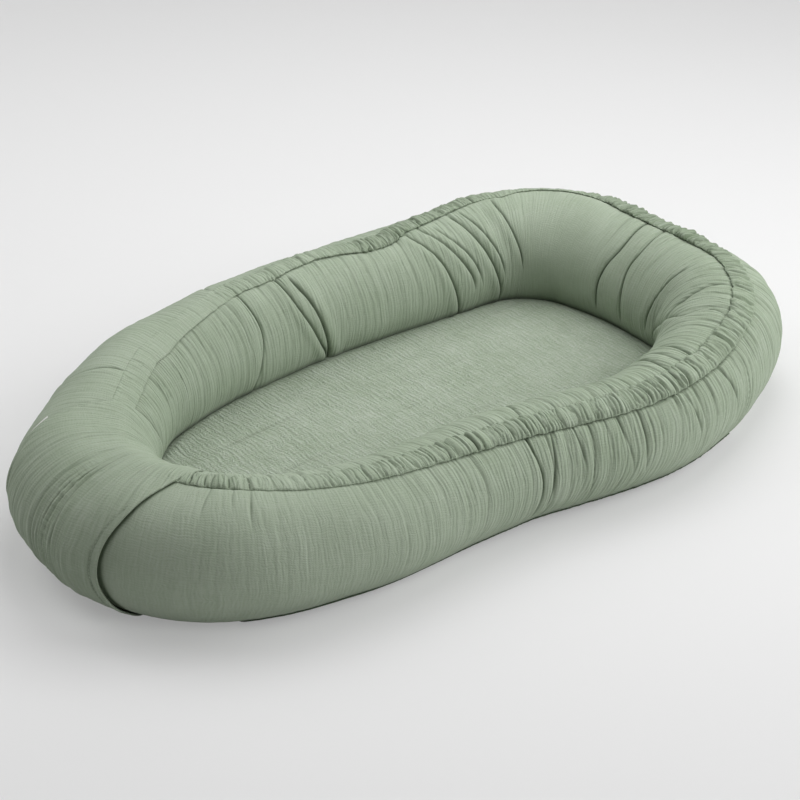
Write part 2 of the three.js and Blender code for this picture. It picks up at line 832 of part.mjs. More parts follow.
// The base: level on the floor under the roll, a little raised in the middle, slotted for the zip

// How far the base is cut back for the sleeve: 0 is not, 1 half way and 2 fully.
function baseCutAt(place) {
  const turned = place > stations ? place - stations : place;
  const [start, half, full, fullEnd, halfEnd, end] = baseCutShares;
  if (turned < half) return Math.max(0, (turned - start) / (half - start));
  if (turned < full) return 1 + (turned - half) / (full - half);
  if (turned <= fullEnd) return 2;
  if (turned < halfEnd) return 2 - (turned - fullEnd) / (halfEnd - fullEnd);
  return Math.max(0, 1 - (turned - halfEnd) / (end - halfEnd));
}

function basePlaces() {
  const [start, , full, fullEnd, , end] = baseCutShares;
  const wide = columns.map(({ place }) => place)
    .filter((place) => place > end && place < start + stations);
  const marks = baseCutShares.map((place) => (place > joinShare ? place : place + stations));
  const under = underSleeve(full + stations, fullEnd + stations).slice(1, -1);
  return [...wide, ...marks, ...under].sort((a, b) => a - b);
}

// The edge of the base, from the roll's centre line inwards.
function baseEdge(section, cut) {
  const half = section.breadth * baseHalfCutShare;
  if (cut <= 1) return THREE.MathUtils.lerp(-baseLap, half, cut);
  return THREE.MathUtils.lerp(half, section.breadth * baseCutBackShares[0], cut - 1);
}

function makeBase() {
  const rings = [[], [], [], []];
  const upper = [[], [], [], []];
  for (const place of basePlaces()) {
    const section = sectionAt(place);
    const cut = baseCutAt(place);
    const back = Math.max(0, cut - 1);
    const at = (reach, height) => section.centre.clone()
      .addScaledVector(section.inward, reach).setZ(height);
    const reaches = [
      baseEdge(section, cut),
      section.breadth * THREE.MathUtils.lerp(baseRingShares[0], baseCutBackShares[1], back),
      section.breadth * THREE.MathUtils.lerp(baseRingShares[1], baseCutBackShares[2], back),
    ];
    const [floorShare, levelShare] = baseRingShares;
    const heights = reaches.map((reach) => baseRise * THREE.MathUtils.clamp(
      (reach / section.breadth - floorShare) / (levelShare - floorShare), 0, 1));
    reaches.forEach((reach, k) => {
      rings[k].push(at(reach, heights[k]));
      upper[k].push(at(reach, heights[k] + clothWall));
    });
    const inner = at(reaches[2], baseRise);
    rings[3].push(oblongPoint(inner, slotHalfLength, zipOpening / 2, baseRise));
    upper[3].push(oblongPoint(inner, slotHalfLength, zipOpening / 2, baseTop));
  }
  addPiece('base_panel', ringSolid([...rings, ...upper.reverse()], true), backing);
}

// The zip along the middle of the base

function slab(name, low, high, finish) {
  addPiece(name, boxBetween(new THREE.Vector3(...low), new THREE.Vector3(...high)), finish);
}

function makeZipRows() {
  for (const [name, side] of [['far', 1], ['near', -1]]) {
    const span = (inner, outer) => [inner * side, outer * side].sort((a, b) => a - b);
    const [tapeLow, tapeHigh] = span(tapeInner, tapeOuter);
    slab(`zip_tape_${name}`, [-tapeHalfLength, tapeLow, tapeBottom],
      [tapeHalfLength, tapeHigh, tapeBottom + zipTapeThick], backing);
    const [toothLow, toothHigh] = span(teethSlit / 2, teethOuter);
    slab(`zip_teeth_${name}`, [-teethHalf, toothLow, teethBottom],
      [teethHalf, toothHigh, teethTop], greenPlastic);
  }
  for (const [name, side] of [['head', 1], ['foot', -1]]) {
    const near = side * (teethHalf + seamGap);
    const far = near + side * stopLength;
    slab(`zip_stop_${name}`, [Math.min(near, far), -teethOuter, teethBottom],
      [Math.max(near, far), teethOuter, teethTop], greenPlastic);
  }
}

const sliderMiddle = teethHalf - sliderEase - sliderLength / 2;
const pinX = sliderMiddle - sliderLength / 2 - tongueLength + pinBeforeTip;
const pinZ = baseRise - pinDrop;

function crossRod(radius, halfLength) {
  const rod = new THREE.CylinderGeometry(radius, radius, halfLength * 2, pinSides);
  rod.translate(pinX, 0, 0);
  const points = rod.getAttribute('position');
  for (let i = 0; i < points.count; i++) points.setZ(i, points.getZ(i) + pinZ);
  return toSolid(rod);
}

function sliderBox(lowX, highX, halfY, lowZ, highZ) {
  return toSolid(boxBetween(
    new THREE.Vector3(lowX, -halfY, lowZ), new THREE.Vector3(highX, halfY, highZ)));
}

function makeSlider() {
  const low = sliderMiddle - sliderLength / 2;
  const high = sliderMiddle + sliderLength / 2;
  const plateTop = teethBottom - seamGap;
  const plateBottom = plateTop - sliderPlate;
  const roofBottom = teethTop + seamGap;
  const bridgeHalf = sliderBridgeLength / 2;
  const slider = sliderBox(low, high, sliderWidth / 2, plateBottom, plateTop)
    .add(sliderBox(low, high, sliderWidth / 2, roofBottom, sliderTop))
    .add(sliderBox(sliderMiddle - bridgeHalf, sliderMiddle + bridgeHalf, sliderBridge / 2,
      plateBottom, sliderTop))
    .add(sliderBox(low - tongueLength, low + tongueLength, tongueWidth / 2,
      pinZ - tongueBelowPin, plateTop))
    .add(crossRod(pinThick / 2, pinLength / 2));
  addPiece('zip_slider', toGeometry(slider), zipMetal);
}

function makePull() {
  const inner = tongueWidth / 2 + seamGap;
  const outer = inner + earWidth;
  const tabEnd = pinX - pullReach;
  const half = pullThick / 2;
  const pull = crossRod(earRound, outer)
    .add(sliderBox(tabEnd, pinX, outer, pinZ - half, pinZ + half))
    .subtract(sliderBox(tabEnd, pinX + earRound * 2, inner, pinZ - earRound * 2,
      pinZ + earRound * 2))
    .add(sliderBox(tabEnd - pullLength, tabEnd, pullWidth / 2, pinZ - half, pinZ + half))
    .subtract(crossRod(pinThick / 2 + pinClearance, outer * 2));
  addPiece('zip_pull', toGeometry(pull), zipMetal);
}

makeFilling();
addPiece('outer_cover', coverSheet(outerRows), muslin);
addPiece('inner_cover', coverSheet(innerRows), muslin);
makeRollEnd('roll_end_near', 1);
makeRollEnd('roll_end_far', -1);
makeCasing();
makeSleeve();
makeLabel();
makeDrawcord();
makeCordLock();
makePad();
makeTopSheet();
makeBase();
makeZipRows();
makeSlider();
makePull();

// The origin lies under the middle of the whole lounger.
const bounds = new THREE.Box3().setFromObject(part);
const middle = bounds.getCenter(new THREE.Vector3());
part.position.set(-middle.x, -middle.y, 0);

export default part;
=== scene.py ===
import math
import bpy
import numpy as np
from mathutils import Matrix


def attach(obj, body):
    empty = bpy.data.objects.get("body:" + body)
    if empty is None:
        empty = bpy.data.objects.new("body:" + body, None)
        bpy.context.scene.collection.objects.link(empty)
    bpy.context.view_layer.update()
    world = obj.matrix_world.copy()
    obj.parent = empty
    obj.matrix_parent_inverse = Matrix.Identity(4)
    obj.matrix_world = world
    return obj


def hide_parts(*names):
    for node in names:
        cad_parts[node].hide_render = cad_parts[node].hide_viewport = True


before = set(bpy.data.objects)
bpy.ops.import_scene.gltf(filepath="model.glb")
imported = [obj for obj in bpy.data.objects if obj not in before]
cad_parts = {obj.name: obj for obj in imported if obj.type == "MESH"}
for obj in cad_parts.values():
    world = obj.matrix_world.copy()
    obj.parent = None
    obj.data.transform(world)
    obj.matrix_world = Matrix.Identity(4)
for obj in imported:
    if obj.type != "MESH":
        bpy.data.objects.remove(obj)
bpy.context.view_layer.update()  # the imported parts, now in place

# Lengths are millimetres until a mesh is made, which is in metres. A place counts stations round
# the roll, from the head by the far side and the foot to the near side. A turn is the angle round
# the roll's section from straight up, in radians, more than zero towards the pad.

toMetres = 0.001
stationCount = 16

roll = {
    "shift": (2.1993, -0.0139),  # of the whole lounger, so that its middle is the origin
    "halfLength": 375.0,
    "halfSpan": 190.0,
    "halfBreadth": 66.0,
    "halfHeight": 65.0,
    "flatBottom": 0.926,  # height of the section's middle, of its half height
    "floor": 1.8,  # the covers lie this high, on the base
    "join": 8.05,  # place where the two ends meet
    "endRound": 42.0,
    "endGap": 16.0,
    "casingBreadth": 24.2,
    "blend": 1.5,  # how softly the underside levels out
    # along, across, width, height and lean of the casing in quarter turns
    "stations": [
        (1.0, 0.05, 1.06, 1.04, -0.03), (0.95, 0.64, 1.08, 1.07, -0.04),
        (0.77, 0.98, 1.05, 1.03, 0.02), (0.43, 1.04, 0.95, 0.98, 0.11),
        (-0.1, 1.05, 0.91, 1.01, 0.15), (-0.56, 0.88, 0.92, 1.0, 0.35),
        (-0.81, 0.57, 0.96, 0.98, 0.46), (-0.95, 0.26, 1.08, 0.97, 0.45),
        (-0.995, -0.11, 1.14, 0.99, 0.34), (-0.96, -0.44, 1.15, 1.02, 0.24),
        (-0.82, -0.74, 1.09, 1.0, 0.18), (-0.52, -0.91, 0.97, 0.9, 0.08),
        (-0.04, -0.93, 0.92, 0.85, -0.08), (0.38, -1.07, 0.88, 0.87, -0.13),
        (0.71, -0.93, 0.91, 0.95, -0.15), (0.96, -0.55, 1.05, 1.03, -0.06),
    ],
    # how much further the casing leans in than that, by place, in quarter turns
    "sway": [
        (0.45, 0), (0.75, -0.055), (0.95, -0.09), (1.2, -0.14), (1.5, -0.14), (1.72, -0.09),
        (1.9, -0.03), (2.2, -0.065), (2.5, -0.08), (2.8, -0.07), (3.0, -0.05), (3.2, 0.08),
        (3.36, 0.07), (3.5, -0.01), (3.65, -0.055), (3.82, -0.02), (3.98, 0.02), (4.25, -0.03),
        (4.6, 0), (4.85, 0.01), (5.03, 0.04), (5.2, 0.01), (6, 0), (14, 0), (14.3, -0.03),
        (14.6, -0.02), (14.9, 0),
    ],
}
stationTable = np.array(roll["stations"]) * (
    roll["halfLength"], roll["halfSpan"], roll["halfBreadth"], roll["halfHeight"], math.pi / 2)


def tableAt(place, pairs):
    # a value that changes along the roll, from (place, value) pairs
    places, values = np.array(pairs).T
    return np.interp(place, places, values)


def sectionAt(place):
    # closed curve through the stations: half of 2b + (c-a)f + (2a-5b+4c-d)f2 + (3b-a-3c+d)f3;
    # inward is its slope turned a quarter left
    place = np.asarray(place, float) % stationCount
    index = np.floor(place).astype(int)
    f = (place - index)[..., None]
    a, b, c, d = (stationTable[(index + k) % stationCount] for k in (-1, 0, 1, 2))
    square, cube = 2 * a - 5 * b + 4 * c - d, 3 * b - a - 3 * c + d
    value = 0.5 * (2 * b + (c - a) * f + square * f ** 2 + cube * f ** 3)
    slope = 0.5 * ((c - a) + 2 * square * f + 3 * cube * f ** 2)
    speed = np.linalg.norm(slope[..., :2], axis=-1)
    inward = np.stack([-slope[..., 1], slope[..., 0]], -1) / speed[..., None]
    sway = tableAt(place, roll["sway"]) * math.pi / 2
    return {"centre": value[..., :2] + roll["shift"], "inward": inward, "breadth": value[..., 2],
            "height": value[..., 3], "size": 0.5 * (value[..., 2] + value[..., 3]),
            "lean": value[..., 4] + sway, "speed": speed}


def softMax(a, b, blend):
    return 0.5 * (a + b + np.sqrt((a - b) ** 2 + blend ** 2))


def smoothStep(x, low, high):
    x = np.clip((x - low) / (high - low), 0, 1)
    return x * x * (3 - 2 * x)


def bell(x, width):
    return np.exp(-(x / width) ** 2)


def skinAt(place, turn, lift=0.0, closing=1.0, floor=None):
    # centre + inward (breadth closing + lift) sin turn, at the height of the middle
    # + (height closing + lift) cos turn, kept above the layer's floor
    s = sectionAt(place)
    floor = roll["floor"] - lift if floor is None else floor
    reach = (s["breadth"] * closing + lift) * np.sin(turn)
    high = s["height"] * roll["flatBottom"] + (s["height"] * closing + lift) * np.cos(turn)
    flat = s["centre"] + s["inward"] * reach[..., None]
    return np.concatenate([flat, softMax(high, floor, roll["blend"])[..., None]], -1)


def placeFromJoin(distance):
    # the place at a distance along the roll from its join
    return roll["join"] + distance / float(sectionAt(roll["join"])["speed"])


coverStart = placeFromJoin(roll["endRound"] + roll["endGap"] / 2)
coverEnd = placeFromJoin(-roll["endRound"] - roll["endGap"] / 2) + stationCount
placeRun = np.linspace(4.5, 25.5, 9001)  # past both ends of the roll
alongRun = np.concatenate([[0], np.cumsum(np.diff(placeRun) * sectionAt(placeRun)["speed"][1:])])


def unwrapped(place):
    # places from the join on, which pass 16 at the head
    place = np.asarray(place, float)
    return np.where(place < roll["join"], place + stationCount, place)


def alongAt(place):
    # the distance along the roll
    return np.interp(place, placeRun, alongRun)


def casingTurns(section):
    # the casing's two stitch lines and its middle, where the cord runs
    width = roll["casingBreadth"] / section["breadth"]
    return section["lean"], section["lean"] - width / 2, section["lean"] - width


# Noise and pleats

def roughness2D(x, y, seed):
    # gradient noise, about -1 to 1: seeded slopes at the corners of unit cells, blended by
    # 6f5 - 15f4 + 10f3
    angle = np.random.default_rng(seed).random((256, 256)) * 2 * math.pi
    x, y = np.broadcast_arrays(x, y)
    column, row = np.floor(x).astype(int), np.floor(y).astype(int)
    fx, fy = x - column, y - row

    def corner(i, j):
        way = angle[(column + i) % 256, (row + j) % 256]
        return np.cos(way) * (fx - i) + np.sin(way) * (fy - j)

    bx, by = (f ** 3 * (6 * f * f - 15 * f + 10) for f in (fx, fy))
    low = corner(0, 0) * (1 - bx) + corner(1, 0) * bx
    high = corner(0, 1) * (1 - bx) + corner(1, 1) * bx
    return 1.4 * (low * (1 - by) + high * by)


def pleats(along, down, spacing, reach, seed, wander=0.12):
    # rounded ridges with sharp valleys between: the size of a noise drawn out round the section,
    # which wanders a little along the roll
    shift = wander * roughness2D(along / (4 * spacing), down / reach, seed + 1)
    wave = roughness2D(along / spacing + shift, down / reach, seed)
    return np.sqrt(wave ** 2 + 0.003) - 0.3


tuckedLength = 3200  # more than the way along the roll from placeRun's start


def tucksAt(x, down, seed, spacing, depth, length):
    # puffs between valleys at uneven spacings, depth (sqrt(1 - |2t - 1|^2.4) - 0.6), t being 0 to 1
    # from one valley to the next; each valley has its own depth and its own length down
    dice = np.random.default_rng(seed)
    count = int(tuckedLength / spacing)
    lines = np.cumsum(spacing * (0.4 + 1.2 * dice.random(count)))
    deep = depth * (0.25 + 0.75 * dice.random(count) ** 1.5)
    reach = length * (0.35 + 1.3 * dice.random(count))
    right = np.clip(np.searchsorted(lines, x), 1, count - 1)
    left = right - 1
    t = np.clip((x - lines[left]) / (lines[right] - lines[left]), 0, 1)
    s = t * t * (3 - 2 * t)
    fading = [deep[k] * bell(np.maximum(down, 0), reach[k]) for k in (left, right)]
    size = (1 - s) * fading[0] + s * fading[1]
    return size * (np.sqrt(1 - np.abs(2 * t - 1) ** 2.4) - 0.6)


foldShape = {
    "smoothing": 0.08,  # radians between the five points that a fold's line is the mean of
    "soft": 16,  # degrees over which each end of a fold fades
    "valley": 0.45, "crease": 0.72, "creaseWidth": 1.2,
    "bulges": [(0.34, 3.2, 2.4), (0.12, -5, 3)],  # height, middle and width, in the fold's widths
    "reach": 14,  # widths past which it is level
}


def foldsAt(place, turn, folds, spread=1.0):
    # each fold is a valley along a line of (place, turn) points, steep on the side that its lean
    # points to and soft on the other, exp(-(x / width)^1.4), with a narrow crease at its bottom,
    # exp(-(x / crease width)^1.6), and bulges beside it, exp(-((x - middle) / width)^2), x being
    # the way along
    lift = np.zeros_like(turn)
    soft = math.radians(foldShape["soft"])
    along = alongAt(place)
    for depth, width, lean, line in folds:
        line = np.array(line)
        line = line[np.argsort(line[:, 1])]
        turns, places = np.radians(line[:, 1]), unwrapped(line[:, 0])
        at = sum(np.interp(turn + k * foldShape["smoothing"], turns, places) for k in range(-2, 3)) / 5
        x = (along - alongAt(at)) * (1 if lean >= 0 else -1)
        fade = smoothStep(turn, turns[0] - soft, turns[0] + soft / 2)
        fade = fade * (1 - smoothStep(turn, turns[-1] - soft / 2, turns[-1] + soft))
        wide = width * spread
        side = wide * np.where(x > 0, 0.5, 0.5 + 2.0 * abs(lean))
        valley = foldShape["valley"] * np.exp(-(np.abs(x) / side) ** 1.4)
        valley += foldShape["crease"] * np.exp(-(np.abs(x) / foldShape["creaseWidth"]) ** 1.6)
        bulge = sum(high * bell(x - middle * wide, part * wide) for high, middle, part in foldShape["bulges"])
        lift += np.where(np.abs(x) < width * foldShape["reach"], depth * fade * (bulge - valley), 0)
    return lift


# Meshes from grids

liningStep = 4  # a lining has every fourth row and column of its face


def thinned(*grids):
    return [grid[::liningStep, ::liningStep] for grid in grids]


def spacedPlaces(first, last, count, turn, weightAt):
    # places whose spacing on the skin, measured at one turn, is even apart from the weight
    place = np.linspace(first, last, 6001)
    points = skinAt(place, np.full_like(place, turn))
    step = np.linalg.norm(np.diff(points, axis=0), axis=1) * weightAt(place[1:])
    length = np.concatenate([[0], np.cumsum(step)])
    return np.interp(np.linspace(0, length[-1], count), length, place)


def quads(index):
    # the quads of a grid of corner numbers
    return np.stack([index[:-1, :-1], index[1:, :-1], index[1:, 1:], index[:-1, 1:]], -1).reshape(-1, 4)


def rimTriangles(fine, coarse):
    # a strip between an edge and one with a quarter of its steps
    step = (len(fine) - 1) // (len(coarse) - 1)
    part = np.arange(len(fine) - 1)
    fans = np.stack([fine[1:], fine[:-1], coarse[(part + step // 2) // step]], -1)
    middle = fine[step // 2::step][:len(coarse) - 1]
    return np.concatenate([fans, np.stack([coarse[:-1], coarse[1:], middle], -1)])


def addObject(name, data):
    added = bpy.data.objects.new(name, data)
    bpy.context.scene.collection.objects.link(added)
    return added


def makeMesh(name, points, faces, finish, cloth=None, weld=None, masks=None):
    # faces are arrays of corners; weld gives the point that each grid corner shares
    weld = np.arange(len(points)) if weld is None else weld
    used, corner = np.unique(weld, return_inverse=True)
    places = points[used] * toMetres
    loops = np.concatenate([f.ravel() for f in faces])
    sizes = np.concatenate([np.full(len(f), f.shape[1]) for f in faces])
    starts = np.concatenate([[0], np.cumsum(sizes)[:-1]])
    fans = np.concatenate([np.stack([f[:, 0], f[:, k], f[:, k + 1]], -1)
                           for f in faces for k in range(1, f.shape[1] - 1)])
    a, b, c = (places[corner[fans[:, k]]] for k in range(3))
    if (a * np.cross(b, c)).sum() < 0:  # turned so that the faces look outwards
        flipped = [f[:, ::-1] for f in faces]
        loops = np.concatenate([f.ravel() for f in flipped])
    mesh = bpy.data.meshes.new(name)
    mesh.vertices.add(len(places))
    mesh.vertices.foreach_set("co", places.ravel())
    mesh.loops.add(len(loops))
    mesh.loops.foreach_set("vertex_index", corner[loops].astype(np.int32))
    mesh.polygons.add(len(sizes))
    mesh.polygons.foreach_set("loop_start", starts.astype(np.int32))
    mesh.polygons.foreach_set("use_smooth", np.ones(len(sizes), bool))
    if cloth is not None:
        layer = mesh.uv_layers.new(name="cloth")
        layer.uv.foreach_set("vector", (cloth[loops] * toMetres).ravel().astype(np.float32))
    for label, values in (masks or {}).items():
        attribute = mesh.attributes.new(label, "FLOAT", "POINT")
        attribute.data.foreach_set("value", values[used].astype(np.float32))
    mesh.update()
    mesh.validate()
    mesh.materials.append(finish)
    return addObject(name, mesh)


def makeShell(name, outer, lining, finish, cloth, closed=False, masks=None):
    # a fine outer grid, a lining with a quarter of its rows and columns, and rims between them;
    # a closed grid's last column of points is its first
    n, m = outer.shape[:2]
    coarse = lining.shape[:2]
    outerIndex = np.arange(n * m).reshape(n, m)
    liningIndex = n * m + np.arange(coarse[0] * coarse[1]).reshape(coarse)
    faces = [quads(outerIndex), quads(liningIndex)[:, ::-1]]
    faces.append(rimTriangles(outerIndex[0, ::-1], liningIndex[0, ::-1]))
    faces.append(rimTriangles(outerIndex[-1], liningIndex[-1]))
    weld = np.arange(n * m + coarse[0] * coarse[1])
    if closed:
        weld[outerIndex[:, -1]] = outerIndex[:, 0]
        weld[liningIndex[:, -1]] = liningIndex[:, 0]
    else:
        faces.append(rimTriangles(outerIndex[:, 0], liningIndex[:, 0]))
        faces.append(rimTriangles(outerIndex[::-1, -1], liningIndex[::-1, -1]))
    points = np.concatenate([outer.reshape(-1, 3), lining.reshape(-1, 3)])
    flat = np.concatenate([x.reshape(-1, 2) for x in (cloth, *thinned(cloth))])
    both = {k: np.concatenate([x.ravel() for x in (v, *thinned(v))]) for k, v in (masks or {}).items()}
    return makeMesh(name, points, faces, finish, flat, weld, both)


def lowest(values, reach=4):
    # the smallest value within a few rows and columns
    for axis in (0, 1):
        values = np.min([np.roll(values, k, axis) for k in range(-reach, reach + 1)], axis=0)
    return values


def hollows(lift, deep=1.3, columns=5, rows=2, slack=0.25):
    # how much further than the slack each point lies under the mean of those round it, 0 to 1
    mean = sum(np.roll(lift, k, 0) for k in range(-columns, columns + 1)) / (2 * columns + 1)
    mean = sum(np.roll(mean, k, 1) for k in range(-rows, rows + 1)) / (2 * rows + 1)
    return np.clip((mean - lift - slack) / deep, 0, 1)


def settle(piece, slot, *nodes):
    # every piece made here rides on the lounger; nodes are the CAD's that it stands for
    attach(piece, "lounger")
    if nodes:
        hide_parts(*nodes)


# Shader groups

def nodeGroup(name, inputs, outputs):
    group = bpy.data.node_groups.new(name, "ShaderNodeTree")
    kinds = {"value": "NodeSocketFloat", "vector": "NodeSocketVector"}
    for label, (kind, start) in inputs.items():
        socket = group.interface.new_socket(label, in_out="INPUT", socket_type=kinds[kind])
        if start is not None:
            socket.default_value = start
    for label, kind in outputs.items():
        group.interface.new_socket(label, in_out="OUTPUT", socket_type=kinds[kind])
    return group, group.nodes.new("NodeGroupInput").outputs, group.nodes.new("NodeGroupOutput").inputs


def feed(tree, node, inputs):
    # a node's inputs, by label or as i and a number, from values or from other nodes' outputs
    for label, value in inputs.items():
        numbered = label[0] == "i" and label[1:].isdigit()
        socket = node.inputs[int(label[1:]) if numbered else label]
        if isinstance(value, bpy.types.NodeSocket):
            tree.links.new(value, socket)
        else:
            socket.default_value = value


def addNode(tree, kind, settings=None, **inputs):
    node = tree.nodes.new("ShaderNode" + kind)
    for label, value in (settings or {}).items():
        setattr(node, label, value)
    feed(tree, node, inputs)
    return node


def math2(tree, operation, a, b=0.0, c=0.0):
    return addNode(tree, "Math", {"operation": operation}, i0=a, i1=b, i2=c).outputs[0]


def scaled(tree, a, b, plus=0.0):
    return math2(tree, "MULTIPLY_ADD", a, b, plus)


def noise2D(tree, x, y, detail, roughness=0.5):
    vector = addNode(tree, "CombineXYZ", i0=x, i1=y).outputs[0]
    return addNode(tree, "TexNoise", {"noise_dimensions": "2D"}, Vector=vector, Scale=1.0, Detail=detail,
                   Roughness=roughness).outputs[0]


crinkle = {
    "coarse": 0.13,  # waves per ridge of the noise that makes them wander
    "wander": 3.0, "roughness": 0.45, "gain": 3.4, "power": 0.8, "uneven": 0.6, "steady": (0.19, 0.2),
}


def makeCrinkleGroup():
    # fine parallel ridges: a third a sine of steady spacing and the rest the size of a noise drawn
    # out along them, both wandering with a coarser noise
    group, given, out = nodeGroup("crinkle", {
        "Vector": ("vector", None), "Spacing": ("value", 0.0035), "Reach": ("value", 0.06),
        "Wander": ("value", 0.5)}, {"Height": "value", "PaintedShade": "value"})
    parts = addNode(group, "SeparateXYZ", i0=given["Vector"]).outputs
    across = math2(group, "DIVIDE", parts[0], given["Spacing"])
    down = math2(group, "DIVIDE", parts[1], given["Reach"])
    drift = noise2D(group, scaled(group, across, crinkle["coarse"]), down, 1.0)
    drift = scaled(group, math2(group, "SUBTRACT", drift, 0.5), given["Wander"])
    wandering = scaled(group, drift, crinkle["wander"], across)
    wave = noise2D(group, wandering, down, 1.0, crinkle["roughness"])
    size = math2(group, "ABSOLUTE", math2(group, "SUBTRACT", wave, 0.5))
    uneven = math2(group, "POWER", scaled(group, size, crinkle["gain"]), crinkle["power"])
    sine = math2(group, "SINE", scaled(group, wandering, 2 * math.pi))
    steady = scaled(group, sine, *crinkle["steady"])
    height = scaled(group, uneven, crinkle["uneven"], steady)
    group.links.new(height, out["Height"])
    # 1 - height, used as painted shade in the ridges' valleys
    group.links.new(math2(group, "SUBTRACT", 1.0, height), out["PaintedShade"])
    return group


def makeWeaveGroup():
    # plain weave: the product of two sines, with uneven threads
    group, given, out = nodeGroup("weave", {
        "Vector": ("vector", None), "Pitch": ("value", 0.0009), "Uneven": ("value", 0.5)},
        {"Height": "value", "Tone": "value"})
    parts = addNode(group, "SeparateXYZ", i0=given["Vector"]).outputs
    u, v = (math2(group, "DIVIDE", parts[k], given["Pitch"]) for k in (0, 1))
    slub = [noise2D(group, *(scaled(group, x, share) for x, share in ((u, low), (v, high))), 0.0)
            for low, high in ((1.0, 0.05), (0.05, 1.0))]  # threads are even along and uneven across
    tone = scaled(group, math2(group, "ADD", *slub), 0.5)
    waves = [math2(group, "SINE", scaled(group, x, math.pi)) for x in (u, v)]
    knit = scaled(group, scaled(group, waves[0], waves[1]), 0.5, 0.5)
    height = scaled(group, math2(group, "SUBTRACT", tone, 0.5), given["Uneven"], knit)
    group.links.new(height, out["Height"])
    group.links.new(tone, out["Tone"])
    return group


crinkleGroup = makeCrinkleGroup()
weaveGroup = makeWeaveGroup()


def useGroup(tree, group, **inputs):
    node = addNode(tree, "Group", {"node_tree": group})
    feed(tree, node, inputs)
    return node.outputs


def newMaterial(name):
    # a material, its node tree and its shader
    finish = bpy.data.materials.new(name)
    finish.use_nodes = True
    tree = finish.node_tree
    shader = next(n for n in tree.nodes if n.type == "BSDF_PRINCIPLED")
    return finish, tree, shader


def mixColours(tree, share, first, second):
    node = addNode(tree, "Mix", {"data_type": "RGBA"}, i0=share, i6=first, i7=second)
    return node.outputs[2]


clothSurface = {"Roughness": 0.92, "Specular IOR Level": 0.08, "Sheen Weight": 0.03, "Sheen Roughness": 0.55}


def clothMaterial(name, light, dark, spacing, reach, crease, weave, pitch, source="cloth", calm=0.22,
                  cross=0.18):
    # crinkled gauze: ridges one way, stronger where the piece's own gather mask is, a fainter grid
    # the other way and the weave as bump; painted shade darkens the valleys of the ridges and the grid,
    # the threads' uneven tone and a noise vary its own colour, and the piece's own mask adds painted
    # shade towards a deep colour; calm is what is left of the ridges where nothing gathers them, and
    # cross is how strong the grid is
    finish, tree, shader = newMaterial(name)
    if source == "cloth":
        vector = addNode(tree, "UVMap", {"uv_map": "cloth"}).outputs[0]
    else:
        vector = addNode(tree, "TexCoord").outputs["Object"]
    parts = addNode(tree, "SeparateXYZ", i0=vector).outputs
    turned = addNode(tree, "CombineXYZ", i0=parts[1], i1=parts[0]).outputs[0]
    first = useGroup(tree, crinkleGroup, Vector=vector, Spacing=spacing, Reach=reach, Wander=0.5)
    grid = [useGroup(tree, crinkleGroup, Vector=v, Spacing=spacing * 0.62, Reach=reach * 0.3, Wander=0.8)
            for v in (vector, turned)]
    threads = useGroup(tree, weaveGroup, Vector=vector, Pitch=pitch, Uneven=0.6)
    gather = addNode(tree, "Attribute", {"attribute_name": "gather"}).outputs["Fac"]
    strength = scaled(tree, gather, 1 - calm, calm)
    relief = scaled(tree, first[0], strength)
    relief = scaled(tree, grid[0][0], 0.8 * cross, relief)
    relief = scaled(tree, grid[1][0], cross, relief)
    object3D = addNode(tree, "TexCoord").outputs["Object"]
    patch = addNode(tree, "TexNoise", Vector=object3D, Scale=22.0, Detail=3.0).outputs[0]
    # painted shade in the valleys of the ridges and the grid, then the threads' uneven tone and a noise's
    # mottling, their own colour
    paintedShadeAndThreadTone = scaled(tree, scaled(tree, first[1], strength), 0.4)
    crossed = math2(tree, "ADD", grid[0][1], grid[1][1])
    paintedShadeAndThreadTone = scaled(tree, crossed, 0.08 + 0.3 * cross, paintedShadeAndThreadTone)
    paintedShadeAndThreadTone = scaled(tree, threads[1], 0.2, paintedShadeAndThreadTone)
    shade = scaled(tree, math2(tree, "SUBTRACT", patch, 0.5), 0.4, paintedShadeAndThreadTone)
    colour = mixColours(tree, shade, (*light, 1), (*dark, 1))
    # painted shade from the piece's own mask, towards a deep copy of the dark colour
    deep = addNode(tree, "Attribute", {"attribute_name": "paintedShadeAndThreadTone"}).outputs["Fac"]
    colour = mixColours(tree, deep, colour, (*(0.42 * x ** 1.1 for x in dark), 1))
    low = addNode(tree, "Bump", Height=relief, Distance=crease, Strength=1.0)
    fine = addNode(tree, "Bump", Height=threads[0], Distance=weave, Strength=0.6, Normal=low.outputs[0])
    feed(tree, shader, {"Base Color": colour, "Normal": fine.outputs[0], **clothSurface})
    return finish


def plainMaterial(name, colour, roughness, metallic=0.0, grain=0.0, scale=900.0):
    # one colour, a fifth darker and a little rougher in the peaks of a noise, which is its bump too
    finish, tree, shader = newMaterial(name)
    vector = addNode(tree, "TexCoord").outputs["Object"]
    noise = addNode(tree, "TexNoise", Vector=vector, Scale=scale, Detail=3.0).outputs[0]
    dark = tuple(0.8 * x for x in colour)
    bump = addNode(tree, "Bump", Height=noise, Distance=grain, Strength=0.6)
    feed(tree, shader, {"Base Color": mixColours(tree, noise, (*colour, 1), (*dark, 1)),
                        "Roughness": scaled(tree, noise, 0.2, roughness - 0.1),
                        "Normal": bump.outputs[0], "Metallic": metallic})
    return finish
